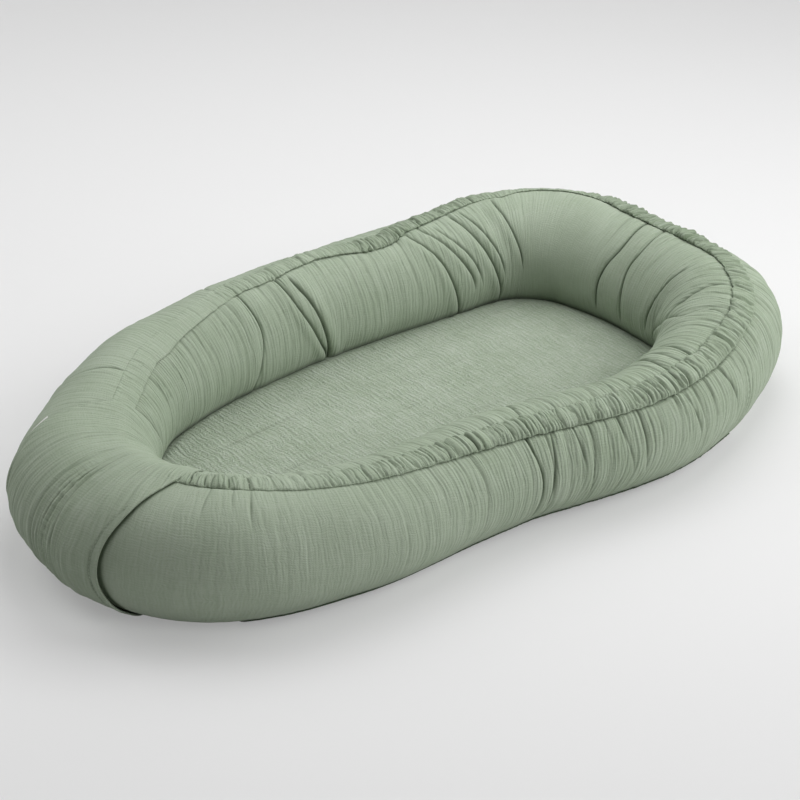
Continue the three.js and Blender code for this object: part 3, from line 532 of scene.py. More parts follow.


# each light is a cloth's colour; each dark, mixed in by painted shade in the crinkles' valleys and by the
# threads' and a noise's tone, is partly a shaded copy of it, and the deep colour of painted shade is made
# from it
sage = {"light": (0.396, 0.451, 0.365), "dark": (0.208, 0.271, 0.173), "panel": (0.466, 0.51, 0.443)}
deepSage = {"light": (0.2, 0.262, 0.175), "dark": (0.15, 0.2, 0.13), "tape": (0.13, 0.175, 0.115)}
cloths = {
    # spacing, reach and height of the ridges, then height and pitch of the weave, all in metres
    "muslin": {"light": sage["light"], "dark": sage["dark"], "spacing": 0.0042, "reach": 0.045,
               "crease": 0.0009, "weave": 0.00012, "pitch": 0.0011},
    "panelMuslin": {"light": sage["panel"], "dark": sage["dark"], "spacing": 0.0056, "reach": 0.028,
                    "crease": 0.0012, "weave": 0.00012, "pitch": 0.0011, "source": "object",
                    "calm": 0.7, "cross": 0.5},
    "backing": {"light": deepSage["light"], "dark": deepSage["dark"], "spacing": 0.02, "reach": 0.06,
                "crease": 0.0003, "weave": 0.00015, "pitch": 0.0008, "source": "object"},
    "backingGathered": {"light": deepSage["light"], "dark": deepSage["dark"], "spacing": 0.006,
                        "reach": 0.05, "crease": 0.0005, "weave": 0.00012, "pitch": 0.0009},
    "tapeCloth": {"light": deepSage["light"], "dark": deepSage["tape"], "spacing": 0.0012,
                  "reach": 0.02, "crease": 0.0001, "weave": 0.0001, "pitch": 0.0006},
}
plains = {
    "fibre": {"colour": (0.86, 0.85, 0.81), "roughness": 0.95, "grain": 0.002, "scale": 300.0},
    "cordCloth": {"colour": (0.62, 0.61, 0.53), "roughness": 0.9, "grain": 0.0003, "scale": 1500.0},
    "labelCloth": {"colour": (0.8, 0.8, 0.77), "roughness": 0.7, "grain": 0.0001, "scale": 2500.0},
    "thread": {"colour": (0.34, 0.41, 0.3), "roughness": 0.8, "grain": 0.0002, "scale": 1800.0},
    "greenPlastic": {"colour": (0.2, 0.265, 0.18), "roughness": 0.42, "grain": 0.00005},
    "springSteel": {"colour": (0.55, 0.56, 0.57), "roughness": 0.28, "metallic": 1.0, "grain": 0.00002},
    "zipMetal": {"colour": (0.47, 0.48, 0.49), "roughness": 0.36, "metallic": 1.0, "grain": 0.00003},
}
looks = {name: clothMaterial(name, **values) for name, values in cloths.items()}
looks.update({name: plainMaterial(name, **values) for name, values in plains.items()})


# Where the sleeve lies over the covers

sleeve = {
    # each edge's mean place, and its shares of the turn's cos and sin and of twice its cos and sin
    "far": (6.374, 0.17, -0.493, -0.099, -0.004), "near": (9.143, 0.112, 0.269, 0.03, 0.091),
    "columns": 221, "rows": 361, "floor": 0.3, "loose": 0.9, "wall": 1.5, "liningFloor": 1.5,
    "overCasing": (1.4, 13),  # how much further out it lies over the casing, and over what width
    "hem": 5.5, "hemStep": 1.5, "hemThick": 0.6, "hemTurns": (0.9, 1.6), "stitchDepth": 0.5,
    "edgeLift": (1.6, 14), "edgeDrop": (1.4, 10),  # and how far in from the edge they reach
    "sag": 4.0, "sagSpread": 0.3, "sagTurns": (-110, 15),
    # depth, spacing and length of its ripples round and along, and depth and sizes of its lumps
    "ripples": (1.6, 7, 120), "acrossRipples": (1.3, 6.5, 20), "acrossSpread": 0.13,
    "lumps": (1.3, 45, 60),
}


def sleeveEdge(edge, turn):
    place, a, b, c, d = sleeve[edge]
    return place + a * np.cos(turn) + b * np.sin(turn) + c * np.cos(2 * turn) + d * np.sin(2 * turn)


# The covers of the roll

cover = {
    "columns": 1801, "outerRows": 93, "innerRows": 85, "lining": 1.5, "slack": 0.6, "liningTop": 0.5,
    "hiddenWeight": 0.2,  # of the column spacing under the sleeve
    "visible": (8.7, 23.0),  # places between which the covers show
    "lumps": 2.4, "lumpSize": (75, 85),  # depth, and size along the roll and down
    "creases": 1.1, "creaseSize": (7, 110),
    # where its lower edge is, of the half turn: next to the sleeve, past the base, the two covers meet
    "lowerEdge": [(9.95, 0.998), (10.15, 0.945), (21.1, 0.945), (21.3, 0.998)],
    # spacing, depth and length down of three sets of tucks, and how far their lines wander
    "tucks": [(24.0, 3.4, 60.0), (11.0, 3.0, 120.0), (6.5, 1.4, 60.0)], "wander": 5.0, "wanderSize": (48, 75),
    "levelTurns": (2.3, 2.8),  # from where to where it levels out on the base
    "undrawn": 6,  # how far the relief goes on past a seam that isn't drawn in
    "drawnWell": 0.3, "drawnReach": 3,  # depth from which a seam counts as drawn in, and its width
    "underCasing": (1.2, 9),  # how much lower it is under the casing, and how far from the seam
    "foldZone": 8,  # how far round a main fold the columns are closer
    # painted shade, how dark its hollows are: in the relief, along the seam with its dots, next to
    # the sleeve where its edge's shadow falls, softly out from there, and low down next to the pad, with
    # widths and heights
    "reliefShade": 0.8, "seamShade": 0.8, "seamDots": (0.7, 1.2, 3.4), "sleeveShade": (0.95, 2.0),
    "sleeveSoft": (0.22, 7), "padShade": [(0.1, -58, -30), (0.3, -33, -28)],
    # how far the lines of the cloth bow along the roll, 100 mm down
    "outerBow": [(8, 0), (11, 4), (12.2, 16), (14, 16), (15.2, 8), (16.5, 0)],
    "innerBow": [(8, 0), (24, 0)],
    # how deep the casing's stitch lines draw it in
    "outerDrawn": [
        (8, 0.2), (10.8, 0.3), (11.8, 0.8), (13.8, 0.8), (14.2, 0), (16.9, 0), (17.3, 0.4), (18.3, 0.8),
        (19.3, 0.8), (19.6, 0.3), (20.2, 0),
    ],
    "innerDrawn": [
        (13.7, 0.6), (14.2, 1.1), (15.6, 1.2), (16.8, 1.1), (17.4, 0.5), (18.2, 0.8), (19.4, 0.9),
        (20.4, 0.6),
    ],
    # how strongly the cloth is gathered along the roll, on its outside and inside
    "outerGather": [
        (8, 0.2), (9.4, 0.15), (10.8, 0.2), (11.6, 0.6), (12.4, 1.0), (14.2, 0.95), (15.2, 0.8),
        (16.5, 0.8), (18, 0.75), (19.5, 0.5), (20.2, 0.25), (21.8, 0.25), (24, 0.3),
    ],
    "innerGather": [
        (8, 0.4), (9.4, 0.45), (11, 0.5), (12.2, 0.8), (13.4, 0.95), (15.2, 0.9), (16.2, 0.5),
        (16.7, 0.2), (17.6, 0.2), (18.0, 0.45), (18.8, 0.5), (20, 0.45), (21, 0.7), (22, 0.9),
        (24, 0.4),
    ],
    # depth, width, lean and the line of each main fold, as places and turns in degrees
    "outerFolds": [
        (1.9, 2.2, 0.3, [(13.64, -14), (13.59, -39), (13.63, -54), (13.68, -82)]),
        (2.0, 2.1, -0.3, [(14.18, -14), (14.11, -36), (14.09, -56)]),
        (1.2, 1.8, 0.3, [(13.17, -30), (13.2, -57), (13.23, -80)]),
        (1.2, 1.8, 0.2, [(12.65, -26), (12.67, -57), (12.7, -86)]),
        (1.2, 1.8, -0.2, [(12.81, -36), (12.8, -69), (12.79, -96)]),
        (1.4, 1.7, 0.2, [(12.35, -28), (12.37, -66)]),
        (3.7, 2.3, -0.4, [(12.02, -26), (12.03, -54), (12.04, -78), (11.98, -112)]),
        (2.2, 1.9, 0.3, [(12.21, -26), (12.16, -63), (12.08, -106)]),
        (1.0, 1.8, 0.2, [(9.76, 3), (9.68, -24)]), (0.8, 1.6, 0.2, [(9.98, 3), (9.93, -20)]),
        (1.1, 1.8, 0.2, [(10.14, 3), (10.07, -32)]),
        (4.0, 2.6, 0.2, [(21.62, 8), (21.7, -20), (21.74, -50)]),
        (1.6, 2.6, 0.3, [(15.12, -30), (15.02, -55), (15.06, -88)]),
        (1.5, 2.8, 0.3, [(17.32, -20), (17.24, -44), (17.27, -70), (17.18, -96)]),
        (1.7, 2.8, -0.3, [(18.62, -14), (18.56, -38), (18.64, -66), (18.6, -90)]),
        (1.7, 2.8, 0.3, [(20.34, -16), (20.25, -42), (20.3, -64), (20.22, -92)]),
    ],
    "innerFolds": [
        (4.2, 3.4, 0.4, [(4.26, 20), (4.24, 63), (4.29, 93), (4.33, 115)]),
        (4.6, 2.8, 0.4, [(3.97, 14), (3.93, 57), (3.82, 96), (3.74, 118)]),
        (4.6, 2.6, -0.2, [(3.88, 26), (3.82, 63), (3.77, 93), (3.73, 118)]),
        (5.0, 2.8, 0.4, [(3.04, 14), (2.9, 54), (2.84, 81), (2.76, 118)]),
        (3.4, 2.2, 0.2, [(2.92, 12), (2.8, 42), (2.68, 72), (2.64, 84)]),
        (3.2, 2.2, 0.2, [(2.8, 20), (2.66, 51), (2.56, 80)]),
        (6.0, 3.0, 0.4, [(2.58, 12), (2.5, 42), (2.4, 72), (2.23, 112)]),
        (3.4, 2.2, 0.2, [(2.47, 12), (2.36, 46), (2.22, 80)]),
        (3.6, 3.4, 0.3, [(2.06, 12), (1.93, 45), (1.76, 76)]),
        (3.6, 3.4, 0.3, [(0.13, 0), (0.08, 39), (0.19, 72), (0.21, 100)]),
        (4.6, 3.6, -0.4, [(15.88, 0), (15.85, 33), (15.89, 54), (15.86, 72), (15.84, 98)]),
        (3.0, 3.4, 0.0, [(15.17, 30), (15.27, 60), (15.4, 92)]),
        (3.6, 3.2, 0.3, [(14.68, 8), (14.54, 39), (14.46, 66)]),
        (4.6, 3.6, -0.4, [(14.23, -12), (14.3, 12), (14.2, 33), (14.55, 78), (15.25, 108)]),
        (3.2, 2.6, 0.3, [(13.51, -15), (13.57, 26)]),
        (2.8, 2.6, 0.3, [(13.24, -12), (13.25, 6), (13.31, 32)]),
        (2.2, 2.2, 0.2, [(12.75, -8), (12.8, 30)]),
        (2.2, 2.2, 0.2, [(12.1, -2), (12.15, 34)]),
    ],
}


def bowed(place, along, down, side):
    # along + bow (down / 100)^2, the line of the cloth that a point lies on
    return along + tableAt(place, cover[side + "Bow"]) * (np.maximum(down, 0) / 100) ** 2


def seamless(place, side):
    # 1 where the casing's stitch line isn't drawn in, 0 where it is
    return 1 - np.clip(tableAt(place, cover[side + "Drawn"]) / cover["drawnWell"], 0, 1)


def coverRelief(place, turn, line, down, side):
    # soft lumps of the filling + tucks that start at the casing and weaken below, their lines
    # wandering a little + fine creases + the main folds, all drawn in at the casing and level
    # where the cover lies on the base
    (lumpLong, lumpDown), (wanderLong, wanderDown) = cover["lumpSize"], cover["wanderSize"]
    gather = tableAt(place, cover[side + "Gather"])
    lumps = cover["lumps"] * roughness2D(line / lumpLong, down / lumpDown, 11)
    wander = cover["wander"] * roughness2D(line / wanderLong, down / wanderDown, 13) * smoothStep(down, 0, 50)
    seed = 21 if side == "outer" else 24
    tucks = sum(depth * tucksAt(line + wander, down, seed + k, spacing, 1, length)
                for k, (spacing, depth, length) in enumerate(cover["tucks"]))
    creases = cover["creases"] * (0.2 + 0.8 * gather) * pleats(line + wander, down, *cover["creaseSize"], 31)
    folds = foldsAt(place, turn, cover[side + "Folds"])
    drawn = tableAt(place, cover[side + "Drawn"])
    past = cover["undrawn"] * seamless(place, side)
    free = smoothStep(down + past, -2, 4) * (1 - smoothStep(np.abs(turn), *cover["levelTurns"]))
    drawn = drawn * bell(np.maximum(down, 0), cover["drawnReach"])
    depth, reach = cover["underCasing"]
    under = depth * smoothStep(-down, 0, reach)
    return (lumps + gather * tucks + creases) * free + folds * (0.3 + 0.7 * free) - drawn - under


def foldWeight(place, side):
    # twice the columns within about 8 mm of a main fold
    weight = np.ones_like(place)
    for _, _, _, line in cover[side + "Folds"]:
        ends = [float(alongAt(unwrapped(p))) for p, _ in line]
        x = alongAt(place)
        gap = np.maximum(0, np.maximum(min(ends) - x, x - max(ends)))
        weight = np.maximum(weight, 1 + bell(gap, cover["foldZone"]))
    return weight


def coverGrid(side):
    # rows of places and turns, from the middle of the casing past its seam to the lower edge, with
    # the cloth's own line and the way down from the seam
    sign = 1 if side == "inner" else -1
    first, last = cover["visible"]

    def weightAt(place):
        shown = (place > first) & (place < last)
        return np.where(shown, foldWeight(place, side), cover["hiddenWeight"])

    place = spacedPlaces(coverStart, coverEnd, cover["columns"], sign * 1.0, weightAt)
    section = sectionAt(place)
    inner, middle, outer = casingTurns(section)
    seam = inner if side == "inner" else outer
    shown = np.linspace(0, 1, cover[side + "Rows"] - 4) ** 1.12
    share = np.concatenate([np.linspace(-1, 0, 5)[:-1], shown])
    end = sign * tableAt(place, cover["lowerEdge"])[:, None] * math.pi
    turn = np.where(share < 0, seam[:, None] - share * (middle - seam)[:, None],
                    seam[:, None] + share * (end - seam[:, None]))
    place = np.broadcast_to(place[:, None], turn.shape)
    down = sign * (turn - seam[:, None]) * section["size"][:, None]
    return place, turn, bowed(place, alongAt(place), down, side), down


def coverPaintedShade(side, place, turn, lift, down, low):
    # painted shade, 0 to 1: darker in the relief's hollows, along a seam that is drawn in, dotted by
    # a noise, beside the sleeve's edges where they shade the cover and, inside, low down next to the pad
    drawn = tableAt(place, cover[side + "Drawn"])
    least, uneven, long = cover["seamDots"]
    along = alongAt(place)
    seam = drawn * bell(down, 1.0 + 0.9 * drawn)
    seam *= np.clip(least + uneven * roughness2D(along / long, 0 * down, 19), 0, 1.4)
    near, far = (np.abs(along - alongAt(unwrapped(sleeveEdge(edge, turn)))) for edge in ("near", "far"))
    beside = np.minimum(near, far)
    (dark, width), (soft, reach) = cover["sleeveShade"], cover["sleeveSoft"]
    shade = dark * bell(beside, width) + soft * np.exp(-beside / reach)
    if side == "inner":
        shade = shade + sum(dark * smoothStep(low, *span) for dark, *span in cover["padShade"])
    return np.clip(cover["reliefShade"] * hollows(lift) + cover["seamShade"] * seam + shade, 0, 1)


def makeCover(side):
    # the skin of the roll + its relief, over a lining as low as the relief round it
    place, turn, line, down = coverGrid(side)
    lift = coverRelief(place, turn, line, down, side)
    outer = skinAt(place, turn, lift, floor=roll["floor"])
    low = np.minimum(lowest(lift), cover["liningTop"]) - cover["lining"] - cover["slack"]
    lining = skinAt(*thinned(place, turn, low), floor=roll["floor"] + cover["lining"])
    cloth = np.stack([line, down + (200 if side == "inner" else 0)], -1)  # other creases on each side
    gather = tableAt(place, cover[side + "Gather"]) * (0.5 + 0.5 * np.exp(-np.maximum(down, 0) / 80))
    # the second mask is painted shade
    masks = {"gather": gather, "paintedShadeAndThreadTone": coverPaintedShade(side, place, turn, lift, down, -outer[..., 2])}
    piece = makeShell(side + "_cover_cloth", outer, lining, looks["muslin"], cloth, masks=masks)
    settle(piece, "muslin", side + "_cover")


makeCover("outer")
makeCover("inner")
print("covers made")


# The filling and the gathered caps over its two ends

ends = {
    "columns": 480, "rows": 48, "below": 6.0, "foldSpread": 2.2, "foldDepth": 1.25,
    "tipRings": 7, "inside": 3,  # rings of the filling's rounded ends, and how far in they start
    "roughness": (0.8, 22, 3),  # depth, size along and lumps per radian round
    "capRings": 45, "capRows": 240, "capFolds": 2.2, "capThick": 1.2, "capInset": 1.6,
    "capGirth": 480, "capPleats": (9, 60), "capReach": 40,  # its folds' girth, spacing and length
}


def ringTurns(place, rows):
    # once round the section, starting at the middle of the casing
    middle = casingTurns(sectionAt(place))[1]
    return middle[:, None] + np.linspace(0, 2 * math.pi, rows + 1)


def makeFilling():
    # rings round the roll inside the covers, closed by rounded ends: at t from 0 to 1 the distance
    # past the covers' end is round (1 - cos(90 t)) and the ring's size is sin(90 t)
    steps = np.linspace(0, 1, ends["tipRings"] + 2)[1:-1]
    away = (roll["endRound"] - ends["inside"]) * (1 - np.cos(steps * math.pi / 2))
    away = roll["endGap"] / 2 + ends["inside"] + away
    near = placeFromJoin(away)
    far = placeFromJoin(-away) + stationCount
    body = np.linspace(coverStart, coverEnd, ends["columns"])
    place = np.concatenate([near, body, far[::-1]])
    rounded = np.sin(steps * math.pi / 2)
    closing = np.concatenate([rounded, np.ones(len(body)), rounded[::-1]])
    turn = ringTurns(place, ends["rows"])
    place, closing = (np.broadcast_to(x[:, None], turn.shape) for x in (place, closing))
    lines = cover["outerFolds"] + cover["innerFolds"]
    folds = ends["foldDepth"] * foldsAt(place, turn, lines, ends["foldSpread"])
    depth, long, waves = ends["roughness"]
    rough = depth * roughness2D(alongAt(place) / long, turn * waves, 5)
    lift = np.minimum(folds, 0) - ends["below"] * closing + rough * closing - 1
    points = skinAt(place, turn, lift, closing, floor=roll["floor"] + ends["below"])
    index = np.arange(points[..., 0].size).reshape(points.shape[:2])
    weld = index.copy()
    weld[:, -1] = weld[:, 0]
    tips = np.stack([points[0, :-1].mean(0), points[-1, :-1].mean(0)])
    count = index.size
    fans = [np.stack([np.full(ends["rows"], count), index[0, 1:], index[0, :-1]], -1),
            np.stack([np.full(ends["rows"], count + 1), index[-1, :-1], index[-1, 1:]], -1)]
    piece = makeMesh("roll_fibre", np.concatenate([points.reshape(-1, 3), tips]),
                     [f[:, ::-1] for f in (quads(index), *fans)], looks["fibre"],
                     weld=np.concatenate([weld.ravel(), [count, count + 1]]))
    settle(piece, "fibre", "roll_filling")


def makeRollEnd(name, side):
    # a gathered disc: folds that run out from a drawn up middle and fade at the covers' edge
    quarter = np.linspace(0.06, 1, ends["capRings"]) ** 0.9
    away = roll["endGap"] / 2 + (roll["endRound"] - ends["capThick"]) * (1 - np.cos(quarter * math.pi / 2))
    place = placeFromJoin(side * away)
    turn = ringTurns(place, ends["capRows"])
    closing = np.broadcast_to(np.sin(quarter * math.pi / 2)[:, None], turn.shape)
    place = np.broadcast_to(place[:, None], turn.shape)
    around = turn * ends["capGirth"] / 2 / math.pi
    wave = pleats(around, closing * ends["capReach"], *ends["capPleats"], 71 + side)
    lift = ends["capFolds"] * np.sin(closing * math.pi) * wave - ends["capInset"]
    outer = skinAt(place, turn, lift, closing, floor=roll["floor"])
    inner = skinAt(place, turn, lift - ends["capThick"], closing, floor=roll["floor"] + ends["capThick"])
    cloth = np.stack([around * 0.8, closing * roll["halfBreadth"]], -1)
    piece = makeShell(name + "_gathered", outer, *thinned(inner), looks["backingGathered"], cloth,
                      closed=True)
    settle(piece, "backing", name)


makeFilling()
makeRollEnd("roll_end_near", 1)
makeRollEnd("roll_end_far", -1)
print("filling and roll ends made")


# The casing, which ends under the sleeve

cordValues = {
    "thick": 3.7, "apart": 5.2, "lockAhead": 6.0, "ease": 6.0, "runShare": 0.72, "run": 25.6,
    "freeShares": [(0.15, 0.5, 0.3), (0.5, 0.86, 0.8)], "sides": 16, "step": 1.7, "braid": 0.15, "lay": 9.0,
}
casing = {
    "columns": 2601, "rows": 29, "tuck": 20.0, "wall": 1.2, "seamLift": 0.3, "liningTop": 2.4,
    "cutBreadth": 28.0, "fullness": 1.35,  # its cloth's width, and its length of what it covers
    "arc": (108, 78),  # from its top to its inner and outer seam, in degrees
    # depth and spacing of its tucks, and of its fine ridges with their length
    "puffs": (8.5, 17.0), "ruffles": (3.8, 6.0), "ridges": (1.2, 3.6, 30),
    # depth and size along of the noises that slant its line, swell it, make it waver, shift the
    # ruffles and make the puffs uneven
    "slant": (0.5, 60), "swell": (0.4, 48), "waver": (1.5, 10), "shift": (3.2, 11), "uneven": (0.6, 9),
    "overhang": 0.8, "overCord": 0.5, "rim": 0.9, "rimWidth": 0.9,
    # the height of its middle and how strongly it is gathered, by place
    "rise": [
        (8, 1.2), (9.3, 1.6), (9.5, 2.3), (9.9, 2.2), (10.1, 1.6), (10.6, 2.2), (11.5, 3.2), (12, 4.0),
        (13.3, 4.0), (13.7, 3.0), (14.1, 1.7), (14.6, 1.5), (15.0, 1.5), (15.3, 1.8), (15.7, 2.2),
        (16.6, 2.0), (16.9, 1.2), (17.2, 0.5), (17.7, 0.6), (18.1, 1.0), (18.6, 1.6), (19.0, 1.8),
        (19.3, 2.6), (19.5, 2.0), (19.9, 2.2), (20.2, 1.4), (20.5, 0.6),
    ],
    "gather": [
        (8, 0.3), (9.3, 0.9), (9.5, 1.2), (9.9, 1.2), (10.2, 0.5), (11, 0.7), (12, 1.0), (13.4, 1.0),
        (14, 1.1), (14.8, 1.25), (15.3, 1.4), (15.7, 1.5), (16.6, 1.4), (17, 0.7), (17.6, 0.7),
        (18.2, 1.2), (19.3, 1.3), (19.5, 0.6), (19.9, 0.45), (20.2, 0.7), (20.5, 0.25), (21, 0.2),
        (21.3, 0.5), (21.7, 0.5), (24, 0.3),
    ],
    "folds": [(2.0, 1.2, 0.2, [(9.8, 30), (9.73, -4)]), (1.4, 1.0, 0.2, [(9.97, 26), (9.96, 4)]),
              (2.0, 1.2, 0.2, [(10.16, 30), (10.12, -4)]), (1.2, 1.0, 0.2, [(9.6, 28), (9.56, 0)])],
    # how much darker painted shade makes it, by place
    "shade": [
        (14.5, 0), (15.4, 0.2), (16.7, 0.2), (17.1, 0.05), (17.9, 0.05), (18.3, 0.12), (19.3, 0.12),
        (19.6, 0),
    ],
    # how deep the cord lies, by place
    "sink": [
        (10, 1.2), (11.5, 0.4), (13.8, 0.4), (14.5, 1.2), (15.6, 1.2), (16, 0.8), (16.6, 0.8),
        (17, 1.4), (17.8, 1.2), (18.4, 0.4), (19.3, 0.4), (19.8, 0.8), (20.6, 1.5), (24, 1.2),
    ],
}


def casingSection(place, along, share):
    # an arc over the cord, which bulges past its inner seam: across = A (sin a + sin inner), with
    # A = width / (sin outer + sin inner), and height = rise arch + relief (1 - (1 - arch)^3), with
    # arch = (cos a - cos end) / (1 - cos end); the relief is puffs between tucks, ruffles and fine
    # ridges, and the cord shows through as the least height
    inner, outer = (math.radians(x) for x in casing["arc"])
    angle = -inner + share * (inner + outer)
    width = roll["casingBreadth"]
    across = width / (math.sin(outer) + math.sin(inner)) * (np.sin(angle) + math.sin(inner))
    end = np.where(angle < 0, inner, outer)
    arch = (np.cos(angle) - np.cos(end)) / (1 - np.cos(end))
    gather = tableAt(place, casing["gather"])
    still = 0 * along

    def drift(name, seed, waves=0):
        depth, size = casing[name]
        return depth * roughness2D(along / size, share * waves, seed)

    rise = tableAt(place, casing["rise"]) * (1 + gather * drift("swell", 93))
    line = along + (share - 0.5) * width * drift("slant", 91)
    depth, spacing = casing["puffs"]
    relief = depth * tucksAt(line, still, 17, spacing, 1, 1) * (0.9 + drift("uneven", 95, 2.2))
    depth, spacing = casing["ruffles"]
    relief += depth * tucksAt(line + drift("shift", 92, 2.6), still, 18, spacing, 1, 1)
    depth, *sizes = casing["ridges"]
    relief += depth * pleats(line, share * width, *sizes, 41) * (0.5 + 0.5 * np.abs(np.sin(angle)))
    relief *= gather * np.minimum(1, 0.25 + rise / 3.2)  # weaker where it lies low
    high = rise * arch + relief * (1 - (1 - arch) ** 3)
    bend = cordValues["thick"] / 2 + casing["overCord"]
    cord = bend - tableAt(place, casing["sink"]) - (across - width / 2) ** 2 / (2 * bend)
    edge = (0.5 - np.abs(share - 0.5)) * width
    rim = casing["rim"] * np.clip(1.6 * gather - 0.2, 0.1, 1) * bell(edge, casing["rimWidth"])
    lift = np.maximum(casing["seamLift"] - rim + np.maximum(high, 0.2 * rise * arch), cord)
    hang = casing["overhang"] * np.clip(relief, -2.5, 2.5) * np.clip(-np.sin(angle), 0, 1) * (share > 0)
    return across - hang + gather * drift("waver", 94) * np.abs(np.sin(angle)) ** 3, lift


def makeCasing():
    # the skin + the casing's section + the cover's own relief where no outer seam shows + folds
    middleTurn = float(casingTurns(sectionAt(roll["join"]))[1])
    near, far = float(sleeveEdge("near", middleTurn)), float(sleeveEdge("far", middleTurn)) + stationCount
    first = near - casing["tuck"] / float(sectionAt(near)["speed"])
    last = far + casing["tuck"] / float(sectionAt(far)["speed"])
    place = spacedPlaces(first, last, casing["columns"], 0.0, np.ones_like)
    inner, _, outer = casingTurns(sectionAt(place))
    share = np.broadcast_to(np.linspace(0, 1, casing["rows"]), (len(place), casing["rows"]))
    place = np.broadcast_to(place[:, None], share.shape)
    across, lift = casingSection(place, alongAt(place), share)
    turn = inner[:, None] + across / roll["casingBreadth"] * (outer - inner)[:, None]
    down = (outer[:, None] - turn) * sectionAt(place)["size"]
    merged = smoothStep(share, 0.5, 1) * seamless(place, "outer")
    lift = lift + merged * coverRelief(place, turn, alongAt(place), down, "outer")
    lift = lift + foldsAt(place, turn, casing["folds"])
    outerFace = skinAt(place, turn, lift)
    lining = skinAt(*thinned(place, turn, np.minimum(lowest(lift), casing["liningTop"]) - casing["wall"]))
    cloth = np.stack([alongAt(place), across - roll["casingBreadth"]], -1)
    gather = tableAt(place, casing["gather"])
    # painted shade: darker in its hollows where it is gathered, by place, and along the inner stitch line
    # where that is drawn in
    paintedShadeAndThreadTone = hollows(lift, 1.6, 4, 3) * np.clip(1.4 * gather, 0, 1) + tableAt(place, casing["shade"])
    paintedShadeAndThreadTone = np.clip(paintedShadeAndThreadTone + 0.5 * (tableAt(place, cover["innerDrawn"]) - 0.5) * (share < 0.06), 0, 1)
    piece = makeShell("drawcord_casing_cloth", outerFace, lining, looks["muslin"], cloth,
                      masks={"gather": gather, "paintedShadeAndThreadTone": paintedShadeAndThreadTone})
    settle(piece, "muslin", "drawcord_casing")


makeCasing()
print("casing made")


# The foot sleeve

def sleeveRelief(place, turn, along, down, share, width):
    # a dip between the roll ends, ripples in it, a lift over the casing, thicker hems and soft
    # creases that run round the section
    low, high = (math.radians(x) for x in sleeve["sagTurns"])
    part = np.clip((turn - low) / (high - low), 0, 1)
    near = bell(place - roll["join"] - 0.05, sleeve["sagSpread"])
    sag = sleeve["sag"] * np.sin(part * math.pi) * near
    over, overWidth = sleeve["overCasing"]
    middle = casingTurns(sectionAt(place))[1]
    under = over * bell((turn - middle) * roll["halfBreadth"], overWidth)
    edge = np.minimum(share, 1 - share) * width
    seen = 0.25 + 0.75 * smoothStep(-turn, *sleeve["hemTurns"])  # most low down on the outside
    hem = seen * sleeve["hemThick"] * (1 - smoothStep(edge, sleeve["hem"] - sleeve["hemStep"], sleeve["hem"]))
    stitch = seen * sleeve["stitchDepth"] * bell(edge - sleeve["hem"], 1.2)
    tight = 1 - 0.85 * smoothStep(turn, -0.6, 0.1)
    (lift, liftReach), (drop, dropReach) = sleeve["edgeLift"], sleeve["edgeDrop"]
    lifted = lift * tight * np.exp(-edge / liftReach) * (1 - smoothStep(np.abs(turn), 2.0, 2.6))
    lifted = lifted - drop * (1 - tight) * np.exp(-edge / dropReach)
    strength = 0.95 + 1.5 * near * smoothStep(-turn, -0.4, 0.4)
    depth, *sizes = sleeve["ripples"]
    waves = strength * depth * pleats(along, down, *sizes, 51)
    depth, lumpAlong, lumpDown = sleeve["lumps"]
    waves = waves + depth * roughness2D(along / lumpAlong, down / lumpDown, 53)
    depth, *sizes = sleeve["acrossRipples"]
    valley = depth * bell(place - roll["join"], sleeve["acrossSpread"])
    waves = waves + valley * pleats(down, along, *sizes, 57) * smoothStep(-turn, -0.1, 0.3)
    free = 1 - smoothStep(np.abs(turn), 2.2, 2.7)
    return sleeve["loose"] + sleeve["wall"] + under - sag + hem - stitch + lifted + waves * free, near


def sleeveWidth(turn):
    near, far = sleeveEdge("near", turn), sleeveEdge("far", turn)
    return np.abs(near - far) * sectionAt(0.5 * (near + far))["speed"]


def sleeveAt(share, turn):
    near, far = sleeveEdge("near", turn), sleeveEdge("far", turn)
    place = near + share * (far - near)
    along, down = alongAt(place), turn * roll["halfBreadth"]
    lift, ripple = sleeveRelief(place, turn, along, down, share, sleeveWidth(turn))
    return place, lift, np.stack([along, down + 700], -1), ripple


def makeSleeve():
    # the skin + the sleeve's relief, from one edge to the other and once round
    share = np.linspace(0, 1, sleeve["columns"])[:, None]
    turn = np.linspace(-math.pi, math.pi, sleeve["rows"])[None, :] + 0 * share
    place, lift, cloth, ripple = sleeveAt(share, turn)
    outer = skinAt(place, turn, lift, floor=sleeve["floor"])
    lining = skinAt(*thinned(place, turn, lift - sleeve["wall"]), floor=sleeve["liningFloor"])
    outer[:, -1], lining[:, -1] = outer[:, 0], lining[:, 0]
    gather = 0.5 + 0.5 * ripple * smoothStep(-turn, -0.3, 0.5)
    width = np.abs(sleeveEdge("near", turn) - sleeveEdge("far", turn)) * sectionAt(place)["speed"]
    # painted shade in the relief's hollows and along the hems' stitch lines
    groove = bell(np.minimum(share, 1 - share) * width - sleeve["hem"], 1) * smoothStep(-turn, 0.3, 1.2)
    paintedShadeAndThreadTone = np.clip(0.8 * hollows(lift, 1.3, 3, 2, 0.15) + 0.3 * groove, 0, 1)
    piece = makeShell("foot_sleeve_cloth", outer, lining, looks["muslin"], cloth, closed=True,
                      masks={"gather": gather, "paintedShadeAndThreadTone": paintedShadeAndThreadTone})
    settle(piece, "muslin", "foot_sleeve")


makeSleeve()
print("sleeve made")


# The side label

label = {
    "turns": (-52, -30), "width": 30.0, "reach": (-6.0, 5.8), "thick": 0.5, "lift": 1.0, "curl": 1.6,
    "grid": (25, 33), "flat": (12.5, 30.0),
}


